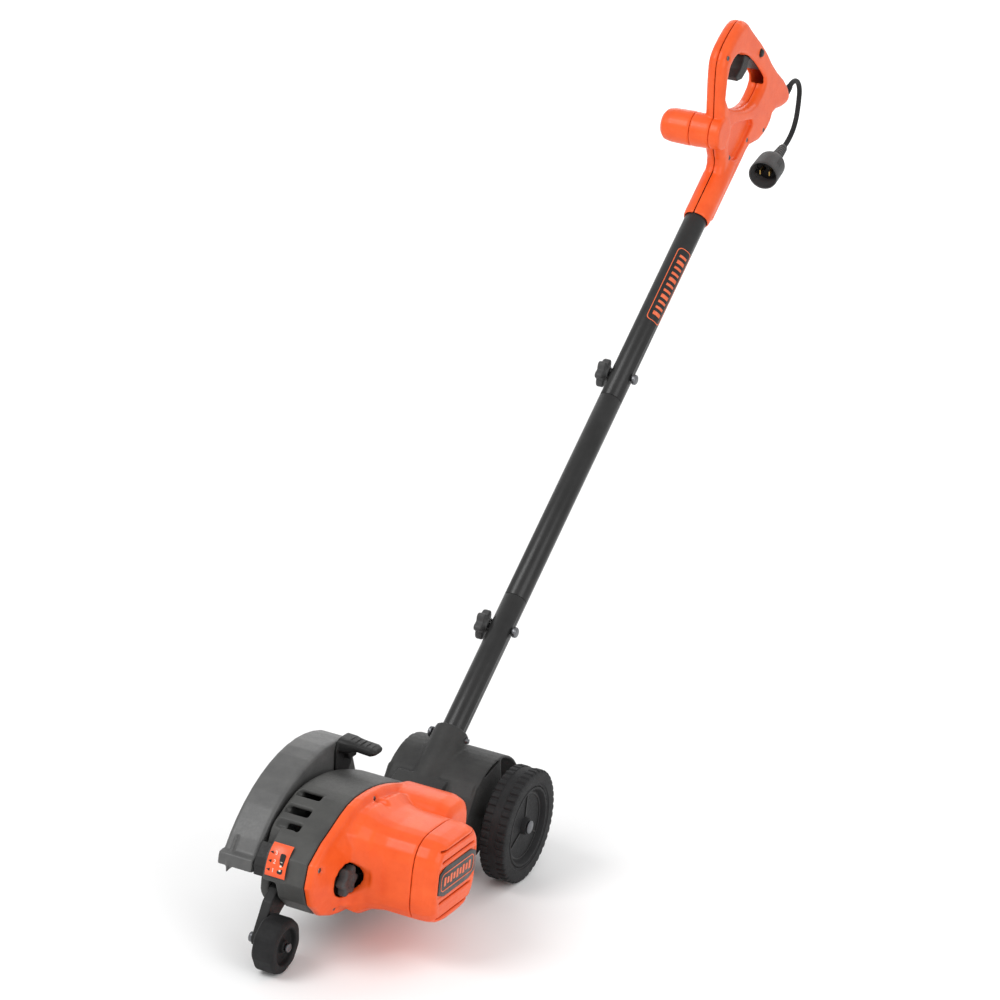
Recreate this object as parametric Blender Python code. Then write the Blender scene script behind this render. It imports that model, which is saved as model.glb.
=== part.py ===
"""Electric lawn edger: a three-wheeled, shaft-handled machine with a bar blade beside its gear housing.

Machine axes: +X to the motor's side, -Y the way it travels, +Z up, ground at z = 0.
All lengths are in metres.
"""
import bmesh
import bpy
from math import atan2, cos, hypot, pi, radians, sin
from mathutils import Matrix, Vector

# ---- driving dimensions -------------------------------------------------------------------------
DATUM = (-0.0208, -0.3964, 0.0)     # machine origin, seen from the middle of the part's footprint
GAP = 0.0003                        # clearance between neighbouring pieces

TILT = radians(41.5)                # shaft above the horizontal
SHAFT_FOOT = (0.1937, 0.1513)       # (y, z) where the shaft leaves its socket
TUBE_R = 0.0143
SWAGE_R = 0.0126                    # narrowed ends of the middle tube, inside the other two
TUBE_WALL = 0.0014
LOWER_SEAM = 0.185                  # along the shaft, from its foot
UPPER_SEAM = 0.480
LOWER_BOLT = 0.143
UPPER_BOLT = 0.516
SOCKET_BOLT = -0.007
HANDLE_MOUTH = 0.764
TUBE_TOP = 0.850
SOCKET_DEPTH = 0.075

MOTOR = (-0.055, 0.104)             # (y, z) of the armature's axis
BLADE = (-0.0335, 0.078)            # (y, z) of the blade's axis
MODULE = 0.0015
PINION_TEETH = 10
GEAR_TEETH = 35
BLADE_LENGTH = 0.190
BLADE_WIDTH = 0.050
BLADE_THICK = 0.0026
BLADE_REST = radians(155)
BLADE_X = -0.0690

GUARD_ARC = (-0.020, 0.020)         # (y, z) of the guard's arc centre
GUARD_R = 0.171
GUARD_X = (-0.090, -0.0484)
GUARD_TAIL = ((0.0395, 0.1770), (0.0425, 0.1680), (0.0455, 0.1560), (0.0515, 0.1440), (0.0605, 0.1260),
              (0.0672, 0.1080), (0.0710, 0.0900), (0.0715, 0.0700), (0.0715, 0.0250))
FLAP_HINGE = (0.0605, 0.0300)

REAR_AXLE = (0.183, 0.0669)         # (y, z)
REAR_R = 0.0669
REAR_W = 0.0314
REAR_X = 0.0969                     # middle of the right rear wheel
INNER_X = -0.0341                   # middle of the left rear wheel, under the hood
INNER_W = 0.0198
HOOD_R = 0.0720
HOOD_X = (-0.0478, 0.066)
FRONT_AXLE = (-0.1912, 0.0310)
FRONT_R = 0.0310
FRONT_W = 0.0274
FRONT_X = -0.0038
POINTER_R = 0.1255
ARM_X = (-0.0300, -0.0185)
ARM_PIVOT = (-0.128, 0.080)
GUIDE_KNOB = (-0.126, 0.0935)        # (y, z) of the star knob on the motor housing's flange

HOUSING_X = (-0.0450, 0.0195)
SEAM_X = 0.1080                     # motor housing to end cap
CAP_END_X = 0.1360
CAN_DROP = 0.0035                    # the can's middle, below the armature's axis
HANDLE_WALL = 0.0030
HANDLE_HALF = 0.0128                # half the handle's thickness
CORD_D = 0.0068


# ---- materials ----------------------------------------------------------------------------------
def material(name, colour, roughness, metallic=0.0):
    made = bpy.data.materials.get(name)
    if made:
        return made
    made = bpy.data.materials.new(name)
    made.use_nodes = True
    shader = made.node_tree.nodes["Principled BSDF"]
    shader.inputs["Base Color"].default_value = (*colour, 1.0)
    shader.inputs["Roughness"].default_value = roughness
    shader.inputs["Metallic"].default_value = metallic
    return made


def orange():
    return material("orange_plastic", (0.85, 0.13, 0.02), 0.38)


def charcoal():
    return material("charcoal_plastic", (0.062, 0.062, 0.062), 0.5)


def grey():
    return material("guard_grey_plastic", (0.10, 0.10, 0.10), 0.5)


def black():
    return material("black_plastic", (0.025, 0.025, 0.025), 0.5)


def paint():
    return material("black_paint", (0.012, 0.012, 0.013), 0.25)


def rubber():
    return material("black_rubber", (0.020, 0.020, 0.020), 0.65)


def steel():
    return material("bright_steel", (0.55, 0.55, 0.56), 0.32, 1.0)


def dark_steel():
    return material("dark_steel", (0.20, 0.20, 0.21), 0.42, 1.0)


def copper():
    return material("copper", (0.72, 0.33, 0.18), 0.35, 1.0)


def carbon():
    return material("carbon", (0.02, 0.02, 0.02), 0.7)


def brass():
    return material("brass", (0.70, 0.52, 0.22), 0.35, 1.0)


# ---- mesh helpers -------------------------------------------------------------------------------
def clear_scene():
    for old in list(bpy.data.objects):
        bpy.data.objects.remove(old, do_unlink=True)


def empty(name, place, parent=None):
    made = bpy.data.objects.new(name, None)
    made.location = place
    made.parent = parent
    bpy.context.scene.collection.objects.link(made)
    return made


def finish(name, bm, surface, pivot=(0.0, 0.0, 0.0), sharp=35):
    """Turn a bmesh drawn in machine axes into an object whose origin is at pivot."""
    bmesh.ops.recalc_face_normals(bm, faces=bm.faces)
    bm.transform(Matrix.Translation(-Vector(pivot)))
    mesh = bpy.data.meshes.new(name)
    bm.to_mesh(mesh)
    bm.free()
    mesh.materials.append(surface)
    mesh.shade_smooth()
    mesh.set_sharp_from_angle(angle=radians(sharp))
    made = bpy.data.objects.new(name, mesh)
    made.location = pivot
    made.parent = bpy.data.objects["datum"]
    bpy.context.scene.collection.objects.link(made)
    return made


def bridge(bm, rings, closed_ends=True):
    """Join rings of equal length into one skin, with a cap at each end."""
    rows = [[bm.verts.new(point) for point in ring] for ring in rings]
    count = len(rows[0])
    for first, second in zip(rows, rows[1:]):
        for i in range(count):
            j = (i + 1) % count
            bm.faces.new((first[i], first[j], second[j], second[i]))
    if closed_ends:
        bm.faces.new(rows[0])
        bm.faces.new(rows[-1])
    return rows


def add_prism(bm, outline, low, high):
    """Extrude a (y, z) outline along X."""
    bridge(bm, [[(x, y, z) for y, z in outline] for x in (low, high)])


def add_loft(bm, sections):
    """Skin through (x, outline) sections, the outlines having equal counts of (y, z) points."""
    bridge(bm, [[(x, y, z) for y, z in outline] for x, outline in sections])


def frame_of(axis):
    axis = Vector(axis).normalized()
    side = Vector((0, 0, 1)) if abs(axis.z) < 0.9 else Vector((0, 1, 0))
    first = axis.cross(side).normalized()
    return axis, first, axis.cross(first)


def add_turned(bm, profile, centre, axis, sides=24, phase=0.0):
    """Turn a profile of (along, radius) points about an axis; radius 0 closes an end to a point."""
    axis, first, second = frame_of(axis)
    centre = Vector(centre)
    rows = []
    for along, radius in profile:
        middle = centre + axis * along
        if radius == 0:
            rows.append([bm.verts.new(middle)])
            continue
        turns = [phase + 2 * pi * i / sides for i in range(sides)]
        rows.append([bm.verts.new(middle + (first * cos(t) + second * sin(t)) * radius) for t in turns])
    for one, two in zip(rows, rows[1:]):
        for i in range(sides):
            j = (i + 1) % sides
            if len(one) == 1:
                bm.faces.new((one[0], two[j], two[i]))
            elif len(two) == 1:
                bm.faces.new((one[i], one[j], two[0]))
            else:
                bm.faces.new((one[i], one[j], two[j], two[i]))
    if profile[0] != profile[-1]:
        for row in (rows[0], rows[-1]):
            if len(row) > 1:
                bm.faces.new(row)
    return rows


def add_ring(bm, inner, outer, low, high, centre, axis, sides=24):
    """A plain tube or washer: a closed square section turned about an axis."""
    axis, first, second = frame_of(axis)
    centre = Vector(centre)
    section = ((low, inner), (low, outer), (high, outer), (high, inner))
    turns = [2 * pi * i / sides for i in range(sides)]
    rows = []
    for turn in turns:
        way = first * cos(turn) + second * sin(turn)
        rows.append([bm.verts.new(centre + axis * a + way * r) for a, r in section])
    for i in range(sides):
        one, two = rows[i], rows[(i + 1) % sides]
        for k in range(4):
            m = (k + 1) % 4
            bm.faces.new((one[k], one[m], two[m], two[k]))


def add_rod(bm, start, end, radius, sides=16):
    start, end = Vector(start), Vector(end)
    add_turned(bm, ((0, radius), ((end - start).length, radius)), start, end - start, sides)


def add_box(bm, low, high):
    x0, y0, z0 = low
    x1, y1, z1 = high
    add_prism(bm, ((y0, z0), (y1, z0), (y1, z1), (y0, z1)), x0, x1)


def inset(outline, amount):
    """Move every side of a counter-clockwise (y, z) outline inwards."""
    moved = []
    count = len(outline)
    for i in range(count):
        before, here, after = outline[i - 1], outline[i], outline[(i + 1) % count]
        one = Vector((here[0] - before[0], here[1] - before[1])).normalized()
        two = Vector((after[0] - here[0], after[1] - here[1])).normalized()
        inward = Vector((-one.y - two.y, one.x + two.x)).normalized()
        lean = max(0.55, inward.dot(Vector((-one.y, one.x))))
        moved.append((here[0] + inward.x * amount / lean, here[1] + inward.y * amount / lean))
    return moved


def smooth_outline(points, cuts=3):
    """Round a closed outline by cutting its corners, Chaikin's way."""
    for _ in range(cuts):
        rounded = []
        for i, here in enumerate(points):
            after = points[(i + 1) % len(points)]
            rounded.append((0.75 * here[0] + 0.25 * after[0], 0.75 * here[1] + 0.25 * after[1]))
            rounded.append((0.25 * here[0] + 0.75 * after[0], 0.25 * here[1] + 0.75 * after[1]))
        points = rounded
    return points


def by_angle(outline, centre, count=32):
    """The same outline, read at equal turns about a centre, so that two outlines can be skinned."""
    read = []
    for k in range(count):
        turn = 2 * pi * k / count
        way = Vector((cos(turn), sin(turn)))
        best = 0.0
        for i, a in enumerate(outline):
            b = outline[(i + 1) % len(outline)]
            edge = Vector((b[0] - a[0], b[1] - a[1]))
            start = Vector((a[0] - centre[0], a[1] - centre[1]))
            cross = way.x * edge.y - way.y * edge.x
            if abs(cross) < 1e-12:
                continue
            reach = (start.x * edge.y - start.y * edge.x) / cross
            along = (start.x * way.y - start.y * way.x) / cross
            if reach > best and -1e-9 <= along <= 1 + 1e-9:
                best = reach
        read.append((centre[0] + way.x * best, centre[1] + way.y * best))
    return read


def squircle(centre, width, height, power=4.0, count=32):
    """A rounded rectangle, as a superellipse."""
    points = []
    for k in range(count):
        turn = 2 * pi * k / count
        c, s = cos(turn), sin(turn)
        reach = (abs(2 * c / width) ** power + abs(2 * s / height) ** power) ** (-1 / power)
        points.append((centre[0] + c * reach, centre[1] + s * reach))
    return points


def arc(centre, radius, start, end, steps):
    turns = [radians(start + (end - start) * k / steps) for k in range(steps + 1)]
    return [(centre[0] + radius * cos(t), centre[1] + radius * sin(t)) for t in turns]


def cutter(name, bm):
    made = finish(name, bm, black())
    made.hide_render = True
    made.display_type = "WIRE"
    return made


def combine(target, tool, how="DIFFERENCE", solver="EXACT"):
    step = target.modifiers.new(tool.name, "BOOLEAN")
    step.object = tool
    step.operation = how
    step.solver = solver
    step.use_self = True


def at(pair, x):
    return (x, pair[0], pair[1])


def along_shaft(distance, side=0.0, x=0.0):
    """A point along the shaft from its foot; side is towards its rear lower face."""
    y = SHAFT_FOOT[0] + distance * cos(TILT) + side * sin(TILT)
    z = SHAFT_FOOT[1] + distance * sin(TILT) - side * cos(TILT)
    return (x, y, z)


SHAFT = (0.0, cos(TILT), sin(TILT))


# ---- shared outlines ----------------------------------------------------------------------------
FLANGE = ((0.030, 0.150), (-0.030, 0.168), (-0.075, 0.171), (-0.105, 0.167), (-0.142, 0.147),
          (-0.174, 0.134), (-0.186, 0.112), (-0.184, 0.090), (-0.166, 0.063), (-0.135, 0.050),
          (-0.100, 0.043), (-0.020, 0.040), (0.045, 0.044), (0.080, 0.060), (0.088, 0.100),
          (0.064, 0.134))


def flange_outline(shrink=0.0):
    rounded = smooth_outline(list(FLANGE), 2)
    return by_angle(inset(rounded, shrink) if shrink else rounded, (-0.055, 0.100))


def can_outline(scale=1.0):
    return squircle((MOTOR[0], MOTOR[1] - CAN_DROP), 0.106 * scale, 0.100 * scale, 3.6)


HOUSING_SCREWS = ((-0.055, 0.1605), (-0.170, 0.118), (-0.128, 0.0590), (0.066, 0.078))


# ---- gear case and motor ------------------------------------------------------------------------
def gear_housing():
    bm = bmesh.new()
    add_loft(bm, ((HOUSING_X[0], flange_outline(0.007)), (HOUSING_X[0] + 0.002, flange_outline(0.003)),
                  (HOUSING_X[0] + 0.006, flange_outline()), (HOUSING_X[1], flange_outline())))
    case = finish("gear_housing", bm, charcoal())
    bm = bmesh.new()
    add_loft(bm, ((-0.0365, behind_pointer()), (-0.0278, behind_pointer()),
                  (-0.0268, flange_outline(0.0045)), (0.05, flange_outline(0.0045))))
    combine(case, cutter("case_cavity", bm))
    bm = bmesh.new()
    add_rod(bm, at(BLADE, -0.06), at(BLADE, 0.0), 0.0113, 24)
    for y, z in ((-0.100, 0.1725), (-0.124, 0.1625), (-0.144, 0.1515)):
        add_box(bm, (-0.041, y - 0.0055, z - 0.012), (-0.010, y + 0.0055, z + 0.012))
    add_box(bm, (-0.0340, -0.21, 0.0), (-0.0145, -0.100, 0.0955))
    add_rod(bm, at(ARM_PIVOT, -0.0375), at(ARM_PIVOT, -0.030), 0.0035, 16)
    combine(case, cutter("case_openings", bm))
    combine(case, pointer_path())


def behind_pointer():
    """The cavity's outline where the pointer runs outside it, held back inside the pointer's sweep."""
    outline = []
    for y, z in flange_outline(0.0045):
        run, rise = y - BLADE[0], z - BLADE[1]
        size = (run * run + rise * rise) ** 0.5
        if y < -0.100 and size > POINTER_R - 0.003:
            scale = (POINTER_R - 0.003) / size
            y, z = BLADE[0] + run * scale, BLADE[1] + rise * scale
        outline.append((y, z))
    return outline


def pointer_path():
    """The corner of the gear case that is cut back, round the blade's axis, for the depth pointer."""
    bm = bmesh.new()
    inner = arc(BLADE, POINTER_R, 146, 197, 12)
    add_prism(bm, inner + [(-0.2400, 0.0400), (-0.2400, 0.1500)], -0.0600, -0.0297)
    return cutter("pointer_path", bm)


def gear_plate():
    """Inner bearing plate between the gears and the motor's fan."""
    bm = bmesh.new()
    outline = inset(smooth_outline(list(FLANGE), 2), 0.0070)
    add_prism(bm, [p for p in by_angle(outline, (-0.055, 0.100), 28)], 0.0060, 0.0130)
    plate = finish("gear_plate", bm, material("cast_aluminium", (0.55, 0.55, 0.55), 0.45, 1.0))
    bm = bmesh.new()
    for centre in (BLADE, MOTOR):
        add_rod(bm, at(centre, 0.0), at(centre, 0.02), 0.0113, 24)
    combine(plate, cutter("plate_bores", bm))


def motor_housing():
    bm = bmesh.new()
    add_loft(bm, ((0.0198, flange_outline()), (0.0270, flange_outline()), (0.0300, flange_outline(0.003)),
                  (0.0320, flange_outline(0.010)), (0.0420, can_outline(1.22)), (0.0550, can_outline(1.06)),
                  (0.0720, can_outline()), (SEAM_X - GAP, can_outline())))
    shell = finish("motor_housing", bm, orange())
    bm = bmesh.new()
    hump = squircle((0.016, 0.117), 0.068, 0.072, 3.0)
    add_loft(bm, ((0.024, hump), (0.082, hump), (0.094, inset(hump, 0.004)), (0.099, inset(hump, 0.012))))
    combine(shell, cutter("rear_hump", bm), "UNION")
    bm = bmesh.new()
    add_loft(bm, ((0.0, flange_outline(0.0045)), (0.0225, flange_outline(0.0045)),
                  (0.0285, flange_outline(0.0150)), (0.0400, can_outline(1.10)),
                  (0.0520, can_outline(0.94)), (0.13, can_outline(0.94))))
    for y, z in HOUSING_SCREWS:
        add_rod(bm, (0.0285, y, z), (0.05, y, z), 0.0042, 10)
    combine(shell, cutter("motor_cavity", bm))
    bm = bmesh.new()
    add_rod(bm, (0.0321, *GUIDE_KNOB), (0.0600, *GUIDE_KNOB), 0.0192, 20)
    combine(shell, cutter("knob_pocket", bm))


def end_cap():
    bm = bmesh.new()
    add_loft(bm, ((SEAM_X, can_outline()), (CAP_END_X - 0.014, can_outline(0.99)),
                  (CAP_END_X - 0.006, can_outline(0.955)), (CAP_END_X - 0.0015, can_outline(0.90)),
                  (CAP_END_X, can_outline(0.85))))
    cap = finish("end_cap", bm, orange())
    bm = bmesh.new()
    add_loft(bm, ((SEAM_X - 0.01, can_outline(0.93)), (CAP_END_X - 0.010, can_outline(0.90)),
                  (CAP_END_X - 0.0045, can_outline(0.78))))
    combine(cap, cutter("cap_cavity", bm))
    bm = bmesh.new()
    for z in [MOTOR[1] + rise for rise in (0.0235, 0.0295, 0.0355, -0.0235, -0.0295, -0.0355, -0.0415)]:
        add_box(bm, (CAP_END_X - 0.020, MOTOR[0] - 0.038, z - 0.0012), (CAP_END_X + 0.002,
                                                                        MOTOR[0] + 0.038, z + 0.0012))
    add_box(bm, (CAP_END_X - 0.0012, MOTOR[0] - 0.0435, MOTOR[1] - 0.0175),
            (CAP_END_X + 0.004, MOTOR[0] + 0.0435, MOTOR[1] + 0.0175))
    combine(cap, cutter("cap_louvres", bm))
    bm = bmesh.new()
    plate = squircle(MOTOR, 0.086, 0.034, 12.0, 24)
    add_prism(bm, plate, CAP_END_X - 0.0009, CAP_END_X + 0.0006)
    finish("nameplate", bm, black())


def rotor():
    """Armature, with its pinion, fan and commutator; all turn on the motor's axis."""
    def named(name, bm, surface):
        finish(name, bm, surface, at(MOTOR, 0.05))
    bm = bmesh.new()
    add_turned(bm, ((0, 0), (0, 0.0025), (0.001, 0.0035), (0.0265, 0.0035), (0.0265, 0.0038),
                    (0.0975, 0.0038),
                    (0.0975, 0.0035), (0.1010, 0.0035), (0.1010, 0)), at(MOTOR, -0.0060 - 0.0250),
               (1, 0, 0), 16)
    named("armature_shaft", bm, steel())
    bm = bmesh.new()
    gear_teeth(bm, MOTOR, PINION_TEETH, -0.0300, -0.0130, 0.0042, pi / PINION_TEETH)
    named("pinion", bm, steel())
    bm = bmesh.new()
    add_ring(bm, 0.0041, 0.0225, 0.0, 0.024, at(MOTOR, 0.0420), (1, 0, 0), 24)
    named("armature_core", bm, dark_steel())
    bm = bmesh.new()
    add_ring(bm, 0.0041, 0.0110, 0.0, 0.012, at(MOTOR, 0.0740), (1, 0, 0), 24)
    named("commutator", bm, copper())
    bm = bmesh.new()
    add_turned(bm, ((0, 0.0041), (0, 0.0330), (0.0015, 0.0330), (0.0015, 0.0100), (0.008, 0.0100),
                    (0.008, 0.0041),
                    (0, 0.0041)), at(MOTOR, 0.0200), (1, 0, 0), 24)
    bmesh.ops.remove_doubles(bm, verts=bm.verts, dist=1e-6)
    fan = finish("fan", bm, black(), at(MOTOR, 0.05))
    bm = bmesh.new()
    for k in range(9):
        turn = 2 * pi * k / 9
        side = Vector((0, -sin(turn), cos(turn))) * 0.0008
        near = Vector(at(MOTOR, 0)) + Vector((0, cos(turn), sin(turn))) * 0.0095
        far = Vector(at(MOTOR, 0)) + Vector((0, cos(turn), sin(turn))) * 0.0320
        corners = (near - side, far - side, far + side, near + side)
        bridge(bm, [[p + Vector((x, 0, 0)) for p in corners] for x in (0.0205, 0.0278)])
    combine(fan, cutter("fan_blades", bm), "UNION")


def gear_teeth(bm, centre, teeth, low, high, bore, phase):
    """A spur gear: four points to a tooth on the outside, a round bore inside."""
    pitch = MODULE * teeth / 2
    tip, root = pitch + MODULE * 0.85, pitch - MODULE * 1.15
    outer, inner = [], []
    for k in range(teeth):
        middle = phase + 2 * pi * k / teeth
        step = 2 * pi / teeth
        for part, radius in ((-0.27, root), (-0.12, tip), (0.12, tip), (0.27, root)):
            turn = middle + part * step
            outer.append((cos(turn), sin(turn), radius))
            inner.append((cos(turn), sin(turn), bore))
    rings = []
    for x, ring in ((low, inner), (low, outer), (high, outer), (high, inner)):
        rings.append([bm.verts.new((x, centre[0] + c * r, centre[1] + s * r)) for c, s, r in ring])
    count = len(outer)
    for k in range(4):
        one, two = rings[k], rings[(k + 1) % 4]
        for i in range(count):
            j = (i + 1) % count
            bm.faces.new((one[i], one[j], two[j], two[i]))


def field():
    """Stator core with its two windings, the brushes and the armature's bearings."""
    bm = bmesh.new()
    add_ring(bm, 0.0350, 0.0425, 0.0, 0.024, at(MOTOR, 0.0560 - 0.0140), (1, 0, 0), 32)
    finish("stator_core", bm, dark_steel())
    bm = bmesh.new()
    add_ring(bm, 0.0240, 0.0345, 0.0, 0.030, at(MOTOR, 0.0390), (1, 0, 0), 32)
    finish("field_windings", bm, copper())
    for name, side in (("brush_left", 1), ("brush_right", -1)):
        bm = bmesh.new()
        near, far = sorted((MOTOR[0] + side * 0.0114, MOTOR[0] + side * 0.0300))
        add_box(bm, (0.0765, near, MOTOR[1] - 0.0035), (0.0835, far, MOTOR[1] + 0.0035))
        finish(name, bm, carbon())
    bearings = (("motor_front_bearing", MOTOR, 0.0062, 0.0041, 0.0110), ("motor_rear_bearing", MOTOR,
                                                                         0.0885, 0.0041, 0.0090),
                ("spindle_outer_bearing", BLADE, -0.0448, 0.0043, 0.0110), ("spindle_inner_bearing", BLADE,
                                                                            0.0062, 0.0043, 0.0110))
    for name, centre, x, bore, outside in bearings:
        bm = bmesh.new()
        add_ring(bm, bore, outside, 0.0, 0.0062, at(centre, x), (1, 0, 0), 24)
        finish(name, bm, steel())
    bm = bmesh.new()
    add_ring(bm, 0.0093, 0.0125, 0.0, 0.0080, at(MOTOR, 0.0875), (1, 0, 0), 24)
    bridge_bar = squircle(MOTOR, 0.088, 0.014, 8.0, 24)
    holder = finish("rear_bearing_bracket", bm, black())
    bm = bmesh.new()
    add_prism(bm, bridge_bar, 0.0880, 0.0930)
    combine(holder, cutter("bracket_bar", bm), "UNION")
    bm = bmesh.new()
    add_rod(bm, at(MOTOR, 0.08), at(MOTOR, 0.10), 0.0093, 24)
    combine(holder, cutter("bracket_bore", bm))


def blade_group():
    """Spindle, driven gear, flanges, blade and nut; all turn on the blade's axis."""
    pivot = at(BLADE, BLADE_X)
    bm = bmesh.new()
    add_turned(bm, ((0, 0), (0, 0.0032), (0.001, 0.0040), (0.0920, 0.0040), (0.0930, 0.0030), (0.0930, 0)),
               at(BLADE, -0.0805), (1, 0, 0), 16)
    finish("blade_spindle", bm, steel(), pivot)
    bm = bmesh.new()
    gear_teeth(bm, BLADE, GEAR_TEETH, -0.0285, -0.0145, 0.0043, mesh_phase())
    finish("driven_gear", bm, steel(), pivot)
    for name, low, high in (("inner_flange", -0.0674, -0.0560), ("outer_flange", -0.0740, -0.0706)):
        bm = bmesh.new()
        add_ring(bm, 0.0043, 0.0170, low, high, at(BLADE, 0.0), (1, 0, 0), 24)
        finish(name, bm, dark_steel(), pivot)
    bm = bmesh.new()
    add_ring(bm, 0.0050, 0.0078, -0.0808, -0.0743, at(BLADE, 0.0), (1, 0, 0), 6)
    finish("blade_nut", bm, steel(), pivot)
    bm = bmesh.new()
    half, wide, nose = BLADE_LENGTH / 2, BLADE_WIDTH / 2, 0.006
    outline = ((half, wide - nose), (half - nose, wide), (-half + nose, wide), (-half, wide - nose),
               (-half, -wide + nose), (-half + nose, -wide), (half - nose, -wide), (half, -wide + nose))
    c, s = cos(BLADE_REST), sin(BLADE_REST)
    turned = [(BLADE[0] + u * c - v * s, BLADE[1] + u * s + v * c) for u, v in outline]
    add_prism(bm, turned, BLADE_X - BLADE_THICK / 2, BLADE_X + BLADE_THICK / 2)
    blade = finish("edger_blade", bm, dark_steel(), pivot)
    bm = bmesh.new()
    add_rod(bm, at(BLADE, -0.09), at(BLADE, -0.05), 0.0043, 24)
    combine(blade, cutter("blade_bore", bm))


def mesh_phase():
    """Turns the driven gear so that its gap meets the pinion's tooth on the line of centres."""
    line = atan2(BLADE[1] - MOTOR[1], BLADE[0] - MOTOR[0])
    pinion_step = 2 * pi / PINION_TEETH
    offset = (line - pi / PINION_TEETH) / pinion_step
    lag = (offset - round(offset)) * pinion_step
    gear_step = 2 * pi / GEAR_TEETH
    return line + pi + gear_step / 2 + lag * PINION_TEETH / GEAR_TEETH


# ---- blade guard --------------------------------------------------------------------------------
def guard_path():
    """(y, z, outward y, outward z) along the guard's crown, from its front lip to its rear hem."""
    line = [(GUARD_ARC[0] + GUARD_R * cos(radians(149 - 77 * k / 12)),
             GUARD_ARC[1] + GUARD_R * sin(radians(149 - 77 * k / 12))) for k in range(13)]
    line += GUARD_TAIL
    path = []
    for i, (y, z) in enumerate(line):
        before, after = line[max(i - 1, 0)], line[min(i + 1, len(line) - 1)]
        run, rise = after[0] - before[0], after[1] - before[1]
        size = (run * run + rise * rise) ** 0.5
        path.append((y, z, -rise / size, run / size))
    return path


def blade_guard():
    left, right = GUARD_X
    section = ((left, 0.018), (left, 0.004), (left + 0.0015, 0.001), (left + 0.004, 0.0),
               (right - 0.004, 0.0),
               (right - 0.001, 0.0015), (right, 0.004), (right, 0.018), (right - 0.0028, 0.018),
               (right - 0.0028, 0.0045), (right - 0.0045, 0.003), (left + 0.0045, 0.003),
               (left + 0.003, 0.0045), (left + 0.003, 0.018))
    bm = bmesh.new()
    bridge(bm, [[(x, y - ny * deep, z - nz * deep) for x, deep in section] for y, z, ny, nz in guard_path()])
    guard = finish("blade_guard", bm, grey())
    bm = bmesh.new()
    crown = [(y - ny * 0.010, z - nz * 0.010) for y, z, ny, nz in guard_path()]
    web = list(reversed(crown)) + [(-0.124, 0.088), (-0.080, 0.050), (-0.050, 0.036), (0.030, 0.036)]
    add_prism(bm, web, right - 0.0026, right - 0.0002)
    add_rod(bm, at(BLADE, right - 0.001), at(BLADE, HOUSING_X[0] - GAP), 0.0245, 28)
    combine(guard, cutter("guard_web", bm), "UNION")
    bm = bmesh.new()
    lip = [(-0.1755, 0.0945), (-0.1590, 0.0905), (-0.1560, 0.1010), (-0.1660, 0.1095), (-0.1740, 0.1080)]
    add_prism(bm, lip, left - 0.0006, right - 0.0004)
    fin = [(-0.1775, 0.0880), (-0.1640, 0.0890), (-0.1545, 0.1200), (-0.1585, 0.1260), (-0.1765, 0.1000)]
    add_prism(bm, fin, left + 0.0110, left + 0.0132)
    combine(guard, cutter("guard_foot", bm), "UNION")
    bm = bmesh.new()
    add_rod(bm, at(BLADE, -0.06), at(BLADE, -0.03), 0.0178, 28)
    add_rod(bm, at(FLAP_HINGE, -0.10), at(FLAP_HINGE, -0.04), 0.0022, 12)
    add_box(bm, (left + 0.0032, 0.0480, 0.0), (right - 0.0032, 0.1000, 0.0385))
    combine(guard, cutter("guard_bores", bm))


def debris_flap():
    """Rubber flap that hangs from a pin behind the guard."""
    hinge = (0.0, *FLAP_HINGE)
    bm = bmesh.new()
    add_turned(bm, ((0, 0), (0, 0.0030), (0.0012, 0.0034), (0.0020, 0.0034), (0.0020, 0.0018),
                    (0.0464, 0.0018), (0.0464, 0)),
               (-0.0950, *FLAP_HINGE), (1, 0, 0), 12)
    finish("flap_pin", bm, steel())
    bm = bmesh.new()
    y, z = FLAP_HINGE
    outline = arc(FLAP_HINGE, 0.0042, 205, -25, 9) + [(y + 0.0020, z - 0.0220), (y - 0.0016, z - 0.0220)]
    add_prism(bm, outline, -0.0835, -0.0550)
    flap = finish("debris_flap", bm, rubber(), hinge)
    bm = bmesh.new()
    add_rod(bm, at(FLAP_HINGE, -0.10), at(FLAP_HINGE, -0.04), 0.0022, 12)
    combine(flap, cutter("flap_bore", bm))


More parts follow.
